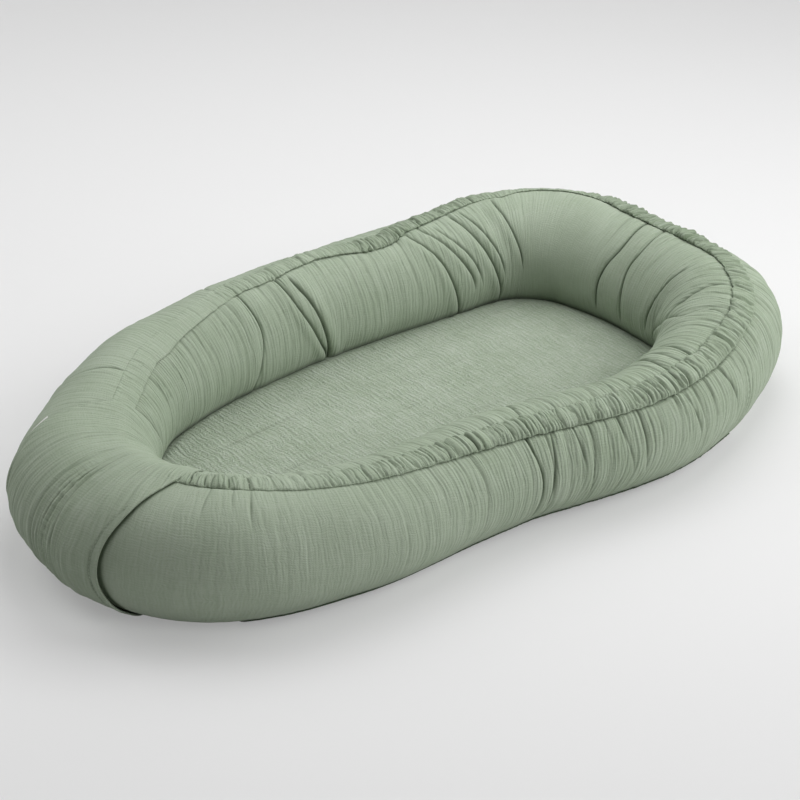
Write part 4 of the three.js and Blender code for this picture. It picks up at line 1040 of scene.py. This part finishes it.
def makeLabel():
    # a strip out from under the sleeve's far edge, which curls up away from it
    low, high = (math.radians(x) for x in label["turns"])
    middle = 0.5 * (low + high)
    half = label["width"] / 2 / float(sectionAt(sleeve["far"][0])["breadth"])
    rows, columns = label["grid"]
    turn = np.linspace(middle - half, middle + half, columns)[None, :] + np.zeros((rows, 1))
    reach = np.linspace(*label["reach"], rows)[:, None]
    edge = sleeveEdge("far", turn)
    place = edge - reach / sectionAt(edge)["speed"]
    curl = 0.5 + 0.5 * np.linspace(0, 1, columns) ** 2
    curl = label["lift"] + label["curl"] * smoothStep(reach, 0, 7) * curl
    outer = skinAt(place, turn, curl + label["thick"])
    inner = skinAt(place, turn, curl)
    cloth = np.stack([reach + 0 * turn, turn * roll["halfBreadth"]], -1)
    piece = makeShell("side_label_cloth", outer, *thinned(inner), looks["labelCloth"], cloth)
    settle(piece, "label_cloth", "side_label")


makeLabel()


# The sleeping pad and its top sheet

pad = {
    "grid": (141, 81), "bottom": 4.8, "top": 24.6, "inset": 3, "rounding": (9, 1.3),
    "groove": 3.2, "grooveAcross": (17, 24), "grooveAlong": (250, 262),  # over the zip
    "crown": 4.0, "edgeGap": -1.2,
    "sheetTop": 28.6, "sheetThick": 1.2, "edgeDrop": 3.0, "edgeReach": 7, "sheetGrid": (321, 181),
    "fullArea": 0.8,  # the sheet's area, of its length times its width
    # depth and sizes of its lumps, and of its ridges across and along
    "lumps": [(0.9, 60, 90), (0.5, 18, 70)], "ridges": (0.5, 11, 120), "acrossRidges": (2.4, 38, 260),
}


def creaseOutline(detail, count=1600):
    # where the inner side of the roll, or of the sleeve, passes the height of the sheet, without
    # or with the relief of the cover there, as distances from the origin by direction
    place = np.linspace(0, stationCount, count, endpoint=False)
    section = sectionAt(place)
    under = smoothStep(place, 5.7, 6.0) * (1 - smoothStep(place, 8.9, 9.3))
    out = under * (sleeve["loose"] + sleeve["wall"] + 1)
    high = section["height"] + out
    turn = np.arccos((pad["sheetTop"] - section["height"] * roll["flatBottom"]) / high)
    at = unwrapped(place)
    down = (turn - casingTurns(section)[0]) * section["size"]
    relief = coverRelief(at, turn, bowed(at, alongAt(at), down, "inner"), down, "inner") * (1 - under)
    reach = (section["breadth"] + out + detail * relief) * np.sin(turn) + pad["edgeGap"]
    line = section["centre"] + section["inward"] * reach[:, None]
    way = np.arctan2(line[:, 1], line[:, 0])
    order = np.argsort(way)
    return way[order], np.linalg.norm(line, axis=1)[order]


smoothCrease, realCrease = creaseOutline(0), creaseOutline(1)


def outlineAt(angle):
    return np.interp(angle, *smoothCrease, period=2 * math.pi)


def padGrid(columns, rows):
    # a square grid drawn out to a disc, x = u sqrt(1 - v2/2), y = v sqrt(1 - u2/2), then to the
    # outline of the crease
    u, v = np.meshgrid(np.linspace(-1, 1, columns), np.linspace(-1, 1, rows), indexing="ij")
    x, y = u * np.sqrt(1 - v ** 2 / 2), v * np.sqrt(1 - u ** 2 / 2)
    share, angle = np.hypot(x, y), np.arctan2(y, x)
    angle = np.arctan2(np.sin(angle) * 0.5, np.cos(angle))  # the pad is twice as long as wide
    detail = np.interp(angle, *realCrease, period=2 * math.pi) - outlineAt(angle)
    reach = share * outlineAt(angle) + detail * smoothStep(share, 0.88, 1)
    return share, reach * np.cos(angle), reach * np.sin(angle)


def sheetRelief(x, y, share):
    # a crown + lumps + ridges both ways, level at the edge
    soft = sum(depth * roughness2D(x / long, y / wide, 61 + 2 * k)
               for k, (depth, long, wide) in enumerate(pad["lumps"]))
    (depth, *sizes), (depthAcross, *sizesAcross) = pad["ridges"], pad["acrossRidges"]
    ridges = depth * pleats(x, y, *sizes, 65) + depthAcross * pleats(y, x, *sizesAcross, 67)
    return pad["crown"] * (1 - share ** 2) + (soft + ridges) * (1 - smoothStep(share, 0.9, 1))


def makeTopSheet():
    # the relief, less a drop along the edge
    share, x, y = padGrid(*pad["sheetGrid"])
    edge = (1 - share) * outlineAt(np.arctan2(y, x))
    drop = pad["edgeDrop"] * np.exp(-(edge / pad["edgeReach"]) ** 1.2)
    z = pad["sheetTop"] + sheetRelief(x, y, share) - drop
    outer = np.stack([x, y, z], -1)
    # its mask is painted shade in the relief's hollows, short of the edge
    piece = makeShell("sleep_panel_cloth", outer, *thinned(outer - (0, 0, pad["sheetThick"])),
                      looks["panelMuslin"], np.stack([x, y], -1),
                      masks={"paintedShadeAndThreadTone": 0.6 * hollows(z, 0.8, 2, 3, 0.05) * (share < 0.97)})
    settle(piece, "muslin", "sleep_panel")


def makePad():
    # the same relief lower down, rounded along the edge, over a flat face with the zip's groove
    share, x, y = padGrid(*pad["grid"])
    reach = outlineAt(np.arctan2(y, x))
    size, power = pad["rounding"]
    rounded = size * np.exp(-((1 - share) * reach / size) ** power)
    top = pad["top"] + sheetRelief(x, y, share) - rounded
    groove = 1 - smoothStep(np.abs(y), *pad["grooveAcross"])
    groove = pad["groove"] * groove * (1 - smoothStep(np.abs(x), *pad["grooveAlong"]))
    low = pad["bottom"] + groove + 0.4 * rounded
    shrink = 1 - pad["inset"] / np.maximum(reach, 1)
    outer, inner = (np.stack([x * shrink, y * shrink, z], -1) for z in (top, low))
    piece = makeShell("sleeping_pad_fibre", outer, *thinned(inner), looks["fibre"], np.stack([x, y], -1))
    settle(piece, "fibre", "sleeping_pad")


makeTopSheet()
makePad()
print("pad made")


# The base, which turns up a little along the covers

base = {
    "thick": 1.2, "low": 0.3, "rise": 2.6, "gap": 0.2, "slot": (242.0, 9.0),
    "columns": 960, "rings": (13, 24),
    "levelShare": 0.68,  # of the roll's half breadth: level from here inwards
    # its outer edge, of the roll's half breadth from the centre line; past -0.65 it shows
    "edgeShares": [
        (5.25, -0.5), (5.6, 0.4), (5.75, 0.6), (9.5, 0.6), (9.65, 0.4), (10.0, -0.6), (10.1, -0.62),
        (10.4, -0.66), (10.75, -0.71), (10.9, -0.69), (11.0, -0.58), (11.5, -0.58), (11.7, -0.65),
        (12.1, -0.71), (12.4, -0.66), (13.1, -0.65), (13.4, -0.69), (13.65, -0.74), (13.8, -0.72),
        (13.95, -0.55), (15, -0.5),
    ],
    "edgeShade": 3, "edgeDark": 0.9,  # how many rings along its edge are darkened by painted shade, under the roll, and how dark
}


def makeBase():
    # rings from the zip's oblong slot, (x, y) / max(|x / 375|, |y / 190|), out to the level share,
    # then from there to the edge: flat on the floor, and past the centre line along the covers
    place = np.linspace(0, stationCount, base["columns"] + 1)
    section = sectionAt(place)
    centre = section["centre"] - roll["shift"]
    shares = centre / (roll["halfLength"], roll["halfSpan"])
    slot = shares / np.abs(shares).max(1)[:, None] * base["slot"] + roll["shift"]
    level = section["centre"] + section["inward"] * (base["levelShare"] * section["breadth"])[:, None]
    inner, outer = base["rings"]
    step = np.linspace(0, 1, inner, endpoint=False)[:, None, None]
    flat = slot + step * (level - slot)
    top = np.full(flat.shape[:2], base["rise"] + base["thick"])
    rise = np.concatenate([flat, top[..., None]], -1)
    edge = tableAt(place, base["edgeShares"])
    reach = base["levelShare"] + np.linspace(0, 1, outer)[:, None] * (edge - base["levelShare"])
    turn = -(math.pi - np.arcsin(np.clip(-reach, 0, 1)))
    at = unwrapped(np.broadcast_to(place, reach.shape))
    down = (casingTurns(section)[2] - turn) * section["size"]
    relief = coverRelief(at, turn, bowed(at, alongAt(at), down, "outer"), down, "outer")
    faces = []
    for gap in (base["gap"], base["gap"] + base["thick"]):
        along = skinAt(at, turn, relief + gap, floor=roll["floor"] - gap)
        high = section["height"] * (roll["flatBottom"] - np.sqrt(1 - np.clip(reach, 0, 0.95) ** 2))
        highest = base["rise"] + base["thick"] + base["gap"]
        high = np.minimum(softMax(high, roll["floor"], roll["blend"]), highest) - gap
        under = section["centre"] + section["inward"] * (reach * section["breadth"])[..., None]
        under = np.concatenate([under, np.maximum(high, base["low"])[..., None]], -1)
        inside = rise - (0, 0, gap - base["gap"])
        face = np.concatenate([inside, np.where((reach < 0)[..., None], along, under)])
        face[:, -1] = face[:, 0]
        faces.append(face)
    upper, lower = faces
    # painted shade along its edge, where it lies under the roll
    dark = np.zeros(lower.shape[:2])
    dark[-base["edgeShade"]:] = base["edgeDark"]
    piece = makeShell("base_panel_cloth", lower, *thinned(upper), looks["backing"], lower[..., :2],
                      closed=True, masks={"paintedShadeAndThreadTone": dark})
    settle(piece, "backing", "base_panel")


makeBase()
print("base made")


# The zip's tapes and coils

zipValues = {
    "tapeHalf": 248.0, "tapeInner": 2.3, "tapeOuter": 13.9, "tapeLow": 4.25, "tapeThick": 0.7,
    "tapeGrid": (249, 13), "unevenness": (0.05, 16, 7),
    "coilHalf": 231.4, "pitch": 1.6, "wire": 0.3, "coilMiddle": (1.28, 4.6), "coilReach": (0.62, 0.5),
}


def makeZipTape(name, side):
    # a flat strip, a little uneven
    columns, rows = zipValues["tapeGrid"]
    depth, long, wide = zipValues["unevenness"]
    across = side * np.linspace(zipValues["tapeInner"], zipValues["tapeOuter"], rows)
    x, y = np.meshgrid(np.linspace(-1, 1, columns) * zipValues["tapeHalf"], across, indexing="ij")
    z = zipValues["tapeLow"] + depth * roughness2D(x / long, y / wide, 77)
    low = np.stack([x + roll["shift"][0], y, z], -1)
    high = low + (0, 0, zipValues["tapeThick"])
    piece = makeShell(name + "_woven", low, *thinned(high), looks["tapeCloth"], np.stack([x, y], -1))
    settle(piece, "backing", name)


def tubeAlong(path, radius, sides, level=(0, 0, 1)):
    # rings round a path: path + radius (across cos a + over sin a), across being the way along it
    # crossed with the level, and over at right angles to both
    way = np.gradient(path, axis=0)
    way /= np.linalg.norm(way, axis=1)[:, None]
    across = np.cross(way, level)
    across /= np.linalg.norm(across, axis=1)[:, None]
    over = np.cross(across, way)
    angle = np.linspace(0, 2 * math.pi, sides + 1)[None, :, None]
    size = np.broadcast_to(radius, (len(path), sides + 1))[..., None]
    return path[:, None] + size * (across[:, None] * np.cos(angle) + over[:, None] * np.sin(angle))


def makeTube(name, rings, finish, cloth=None):
    # rings joined into a tube with flat ends
    n, m = rings.shape[:2]
    index = np.arange(n * m).reshape(n, m)
    weld = index.copy()
    weld[:, -1] = weld[:, 0]
    caps = [index[:1, :-1], index[-1:, -2::-1]]
    cloth = np.zeros((n, m, 2)) if cloth is None else cloth
    return makeMesh(name, rings.reshape(-1, 3), [quads(index)[:, ::-1], *caps], finish, cloth.reshape(-1, 2),
                    weld.ravel())


def makeCoil(name, side):
    # a helix squeezed across, x = pitch t, y = middle + reach cos, z = middle + reach sin
    turns = 2 * zipValues["coilHalf"] / zipValues["pitch"]
    angle = np.linspace(0, turns * 2 * math.pi, int(turns) * 10)
    (y, z), (reachY, reachZ) = zipValues["coilMiddle"], zipValues["coilReach"]
    path = np.stack([angle / (2 * math.pi) * zipValues["pitch"] - zipValues["coilHalf"] + roll["shift"][0],
                     side * (y + reachY * np.cos(angle)), z + reachZ * np.sin(angle)], -1)
    rings = tubeAlong(path, zipValues["wire"], 4, (1, 0, 0))
    settle(makeTube(name + "_coil", rings, looks["greenPlastic"]), "plastic", name)


for name, side in (("far", 1), ("near", -1)):
    makeZipTape("zip_tape_" + name, side)
    makeCoil("zip_teeth_" + name, side)
print("zip made")


# The drawcord, round in the casing and down between the roll ends to its lock

def smoothPath(points, steps):
    # centripetal Catmull-Rom through the points, its knots apart by the root of their distance
    points = np.vstack([2 * points[0] - points[1], points, 2 * points[-1] - points[-2]])
    knots = np.concatenate([[0], np.cumsum(np.linalg.norm(np.diff(points, axis=0), axis=1) ** 0.5)])
    parts = []
    for k in range(1, len(points) - 2):
        t = np.linspace(knots[k], knots[k + 1], steps, endpoint=False)[:, None]
        p, s = list(points[k - 1:k + 3]), knots[k - 1:k + 3]
        for first, wide in ((0, 1), (0, 2), (1, 1)):
            p = [((s[first + i + wide] - t) * p[i] + (t - s[first + i]) * p[i + 1])
                 / (s[first + i + wide] - s[first + i]) for i in range(len(p) - 1)]
        parts.append(p[0])
    return np.concatenate([*parts, points[-2:-1]])


def makeDrawcord():
    # a tube of radius thick / 2 + braid (strands - 0.5) along the casing's middle, with an end
    # down to the lock on each side of the join
    place = np.linspace(coverStart, coverEnd, 1200)
    held = skinAt(place, casingTurns(sectionAt(place))[1], -tableAt(place, casing["sink"]))
    join = sectionAt(roll["join"])
    high = float(join["height"]) * (roll["flatBottom"] + cordValues["runShare"])
    lockX = float(join["centre"][0]) + cordValues["lockAhead"]

    def freeEnd(start, side):
        y = float(join["centre"][1]) - side * cordValues["apart"] / 2
        straight = np.array((lockX + cordValues["ease"], y, high))
        bends = [start + (straight - start) * shares for shares in cordValues["freeShares"]]
        entry, end = (lockX, y, high), (lockX - cordValues["run"], y, high)
        return smoothPath(np.array([start, *bends, straight, entry, end]), 14)

    path = np.concatenate([freeEnd(held[0], 1)[::-1], held[1:-1], freeEnd(held[-1], -1)])
    length = np.concatenate([[0], np.cumsum(np.linalg.norm(np.diff(path, axis=0), axis=1))])
    even = np.linspace(0, length[-1], int(length[-1] / cordValues["step"]))
    path = np.stack([np.interp(even, length, path[:, k]) for k in range(3)], -1)
    angle = np.linspace(0, 2 * math.pi, cordValues["sides"] + 1)[None, :]
    lay = 2 * math.pi * even[:, None] / cordValues["lay"]
    strands = np.maximum(np.sin(4 * angle + lay), np.sin(4 * angle - lay))  # two sets, one over the other
    radius = cordValues["thick"] / 2 + cordValues["braid"] * (strands - 0.5)
    rings = tubeAlong(path, radius, cordValues["sides"])
    cloth = np.stack(np.broadcast_arrays(even[:, None], angle * 2), -1)
    settle(makeTube("drawcord_braid", rings, looks["cordCloth"], cloth), "cord", "drawcord")


makeDrawcord()
print("drawcord made")


# Topstitching

stitches = {
    "pitch": 4.2, "length": 2.9, "thick": 0.34, "hemPitch": 3.6,
    "inner": (0.03, [(9.4, 22.2)]),  # share of the way across the casing, and places from and to
    "outer": (0.955, [(9.5, 14.3), (17.0, 19.9)]),
    "first": -2.4, "nearLast": -0.5, "farLast": -1.1,  # turns between which the hems' stitches are
    "zipHalf": 243.0, "zipApart": 11.6,
    "rings": [(-0.5, 0.3), (-0.3, 1), (0.3, 1), (0.5, 0.3)],  # where each is along it, and how large
    "sunk": 0.7,
}


def makeStitches(name, points, out):
    # a short thread at each second point's middle: four rings of six, small at both ends and sunk in
    way = points[1::2] - points[:-1:2]
    way /= np.linalg.norm(way, axis=1)[:, None]
    middle = 0.5 * (points[1::2] + points[:-1:2])
    out = out[:-1:2][:len(middle)]
    across = np.cross(way, out)
    across /= np.linalg.norm(across, axis=1)[:, None]
    along, size = (column[:, None, None] for column in np.array(stitches["rings"]).T)
    middle, way, across, out = (v[:, None, None] for v in (middle, way, across, out))
    angle = np.arange(6)[:, None] * math.pi / 3
    rings = (middle + stitches["length"] * along * way
             + stitches["thick"] * (size - stitches["sunk"]) * out
             + stitches["thick"] * size * (np.cos(angle) * across + np.sin(angle) * out))
    count = len(middle)
    index = np.arange(count * 24).reshape(count, 4, 6)
    turned = np.roll(index, -1, 2)
    sides = np.stack([index[:, :-1], index[:, 1:], turned[:, 1:], turned[:, :-1]], -1).reshape(-1, 4)
    caps = [index[:, 0], index[:, -1, ::-1]]
    settle(makeMesh(name, rings.reshape(-1, 3), [sides, *caps], looks["thread"]), "muslin")


def casingPoints(share, runs):
    # points on the casing at even steps, at one share of the way across it
    along = np.concatenate([np.arange(float(alongAt(first)), float(alongAt(last)), stitches["pitch"] / 2)[:-1]
                            for first, last in runs])
    place = np.interp(along, alongRun, placeRun)
    across, lift = casingSection(place, along, share + 0 * along)
    inner, _, outer = casingTurns(sectionAt(place))
    turn = inner + across / roll["casingBreadth"] * (outer - inner)
    points = skinAt(place, turn, lift + 0.1)
    return points, skinAt(place, turn, lift + 1.1) - points


for side in ("inner", "outer"):
    makeStitches(side + "_seam_stitches", *casingPoints(*stitches[side]))
for edge, share in (("near", 0.0), ("far", 1.0)):
    step = stitches["hemPitch"] / 2 / roll["halfBreadth"]
    turn = np.arange(stitches["first"], stitches[edge + "Last"], step)
    place, lift, _, _ = sleeveAt(abs(share - sleeve["hem"] / sleeveWidth(turn)), turn)
    points, above = (skinAt(place, turn, lift + up, floor=sleeve["floor"]) for up in (0.25, 1.25))
    makeStitches(edge + "_hem_stitches", points, above - points)
for name, side in (("far", 1), ("near", -1)):
    x = np.arange(-stitches["zipHalf"], stitches["zipHalf"], stitches["pitch"] / 2)
    points = np.stack([x + roll["shift"][0], side * stitches["zipApart"] + 0 * x, base["rise"] + 0 * x], -1)
    makeStitches("zip_" + name + "_stitches", points, np.broadcast_to((0, 0, -1.0), points.shape))
print("stitches made")


# Finishes of the carried nodes

finishes = {
    "greenPlastic": ["drawcord_tip_near", "drawcord_tip_far", "cord_lock_body", "cord_lock_button",
                     "zip_stop_head", "zip_stop_foot"],
    "springSteel": ["cord_lock_spring"], "zipMetal": ["zip_slider", "zip_pull"],
}
for finish, names in finishes.items():
    for slot in (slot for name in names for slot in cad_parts[name].material_slots):
        slot.material = looks[finish]


# Floor, lights and camera

studio = {  # lengths in metres
    "floorCorners": [(-6, -6, 0), (6, -6, 0), (6, 9, 0), (-6, 9, 0)],
    "floor": (0.8, 0.8, 0.8), "backdrop": 0.8, "floorRoughness": 0.9, "floorSpecular": 0.1,
    "floorSeen": (0.5, 0.5, 0.5), "glow": 0.285,  # the floor as the camera sees it
    "fades": (1.3, 2.8),  # how far away the floor turns to the backdrop's colour
    "lamps": {  # where each stands, its width and its power
        "key": ((1.5, -1.1, 1.0), 1.2, 23.5), "top": ((0.4, 0.15, 1.3), 1.0, 8.6),
        "side": ((1.0, 1.0, 1.6), 1.2, 8.0), "back": ((-0.9, 1.5, 1.6), 1.6, 19.0),
        "front": ((0.1, -3.82, 3.21), 2.6, 64.5),
    },
    "aim": (0, 0, 0.05),  # what the lamps point at
    "sky": 0.06,
}


def seenRays(tree):
    # 1 for rays of the camera and for reflections, 0 for light
    rays = addNode(tree, "LightPath").outputs
    mirrored = math2(tree, "MAXIMUM", rays["Is Glossy Ray"], rays["Is Transmission Ray"])
    return math2(tree, "MAXIMUM", rays["Is Camera Ray"], mirrored)


def makeFloor():
    mesh = bpy.data.meshes.new("floor")
    mesh.from_pydata(studio["floorCorners"], [], [(0, 1, 2, 3)])
    floor = addObject("floor", mesh)
    finish, tree, shader = newMaterial("floorPaint")
    seen = seenRays(tree)
    here = addNode(tree, "TexCoord").outputs["Object"]
    away = addNode(tree, "VectorMath", {"operation": "LENGTH"}, i0=here).outputs["Value"]
    limits = dict(zip(("From Min", "From Max"), studio["fades"]))
    faded = addNode(tree, "MapRange", {"interpolation_type": "SMOOTHSTEP"}, Value=away, **limits).outputs[0]
    camera = mixColours(tree, faded, (*studio["floorSeen"], 1), (0, 0, 0, 1))
    glow = scaled(tree, faded, studio["backdrop"] - studio["glow"], studio["glow"])
    feed(tree, shader, {"Base Color": mixColours(tree, seen, (*studio["floor"], 1), camera),
                        "Emission Color": (1, 1, 1, 1), "Emission Strength": scaled(tree, seen, glow),
                        "Roughness": studio["floorRoughness"],
                        "Specular IOR Level": studio["floorSpecular"]})
    mesh.materials.append(finish)


def makeLamp(name, at, size, power):
    data = bpy.data.lights.new(name, "AREA")
    data.shape, data.size, data.energy = "SQUARE", size, power
    lamp = addObject(name, data)
    lamp.location = at
    way = np.array(studio["aim"]) - at
    lamp.rotation_euler = (math.atan2(math.hypot(way[0], way[1]), -way[2]), 0,
                           math.atan2(way[1], way[0]) - math.pi / 2)


def makeWorld():
    world = bpy.data.worlds.new("studio")
    bpy.context.scene.world = world
    world.use_nodes = True
    tree = world.node_tree
    back = next(n for n in tree.nodes if n.type == "BACKGROUND")
    strength = addNode(tree, "Mix", {"data_type": "FLOAT"}, i0=seenRays(tree), i2=studio["sky"],
                       i3=studio["backdrop"])
    feed(tree, back, {"Strength": strength.outputs[0], "Color": (1, 1, 1, 1)})


cameraValues = {
    "azimuth": -38.9, "elevation": 29.7, "distance": 2.17, "target": (-0.0169, -0.0195, 0.06),
    "sensor": 36.0, "focal": 2093 / 800 * 36,  # focal length in pixels of a picture 800 wide
}


def makeCamera():
    azimuth, elevation = (math.radians(cameraValues[k]) for k in ("azimuth", "elevation"))
    level = math.cos(elevation)
    back = np.array((math.sin(azimuth) * level, -math.cos(azimuth) * level, math.sin(elevation)))
    data = bpy.data.cameras.new("camera")
    data.lens, data.sensor_width = cameraValues["focal"], cameraValues["sensor"]
    data.clip_start, data.clip_end = 0.05, 50
    camera = addObject("camera", data)
    camera.location = np.array(cameraValues["target"]) + back * cameraValues["distance"]
    camera.rotation_euler = (math.pi / 2 - elevation, 0, azimuth)
    bpy.context.scene.camera = camera


makeFloor()
makeWorld()
for name, values in studio["lamps"].items():
    makeLamp(name, *values)
makeCamera()
bpy.context.scene.view_settings.view_transform = "Standard"
print("studio made")
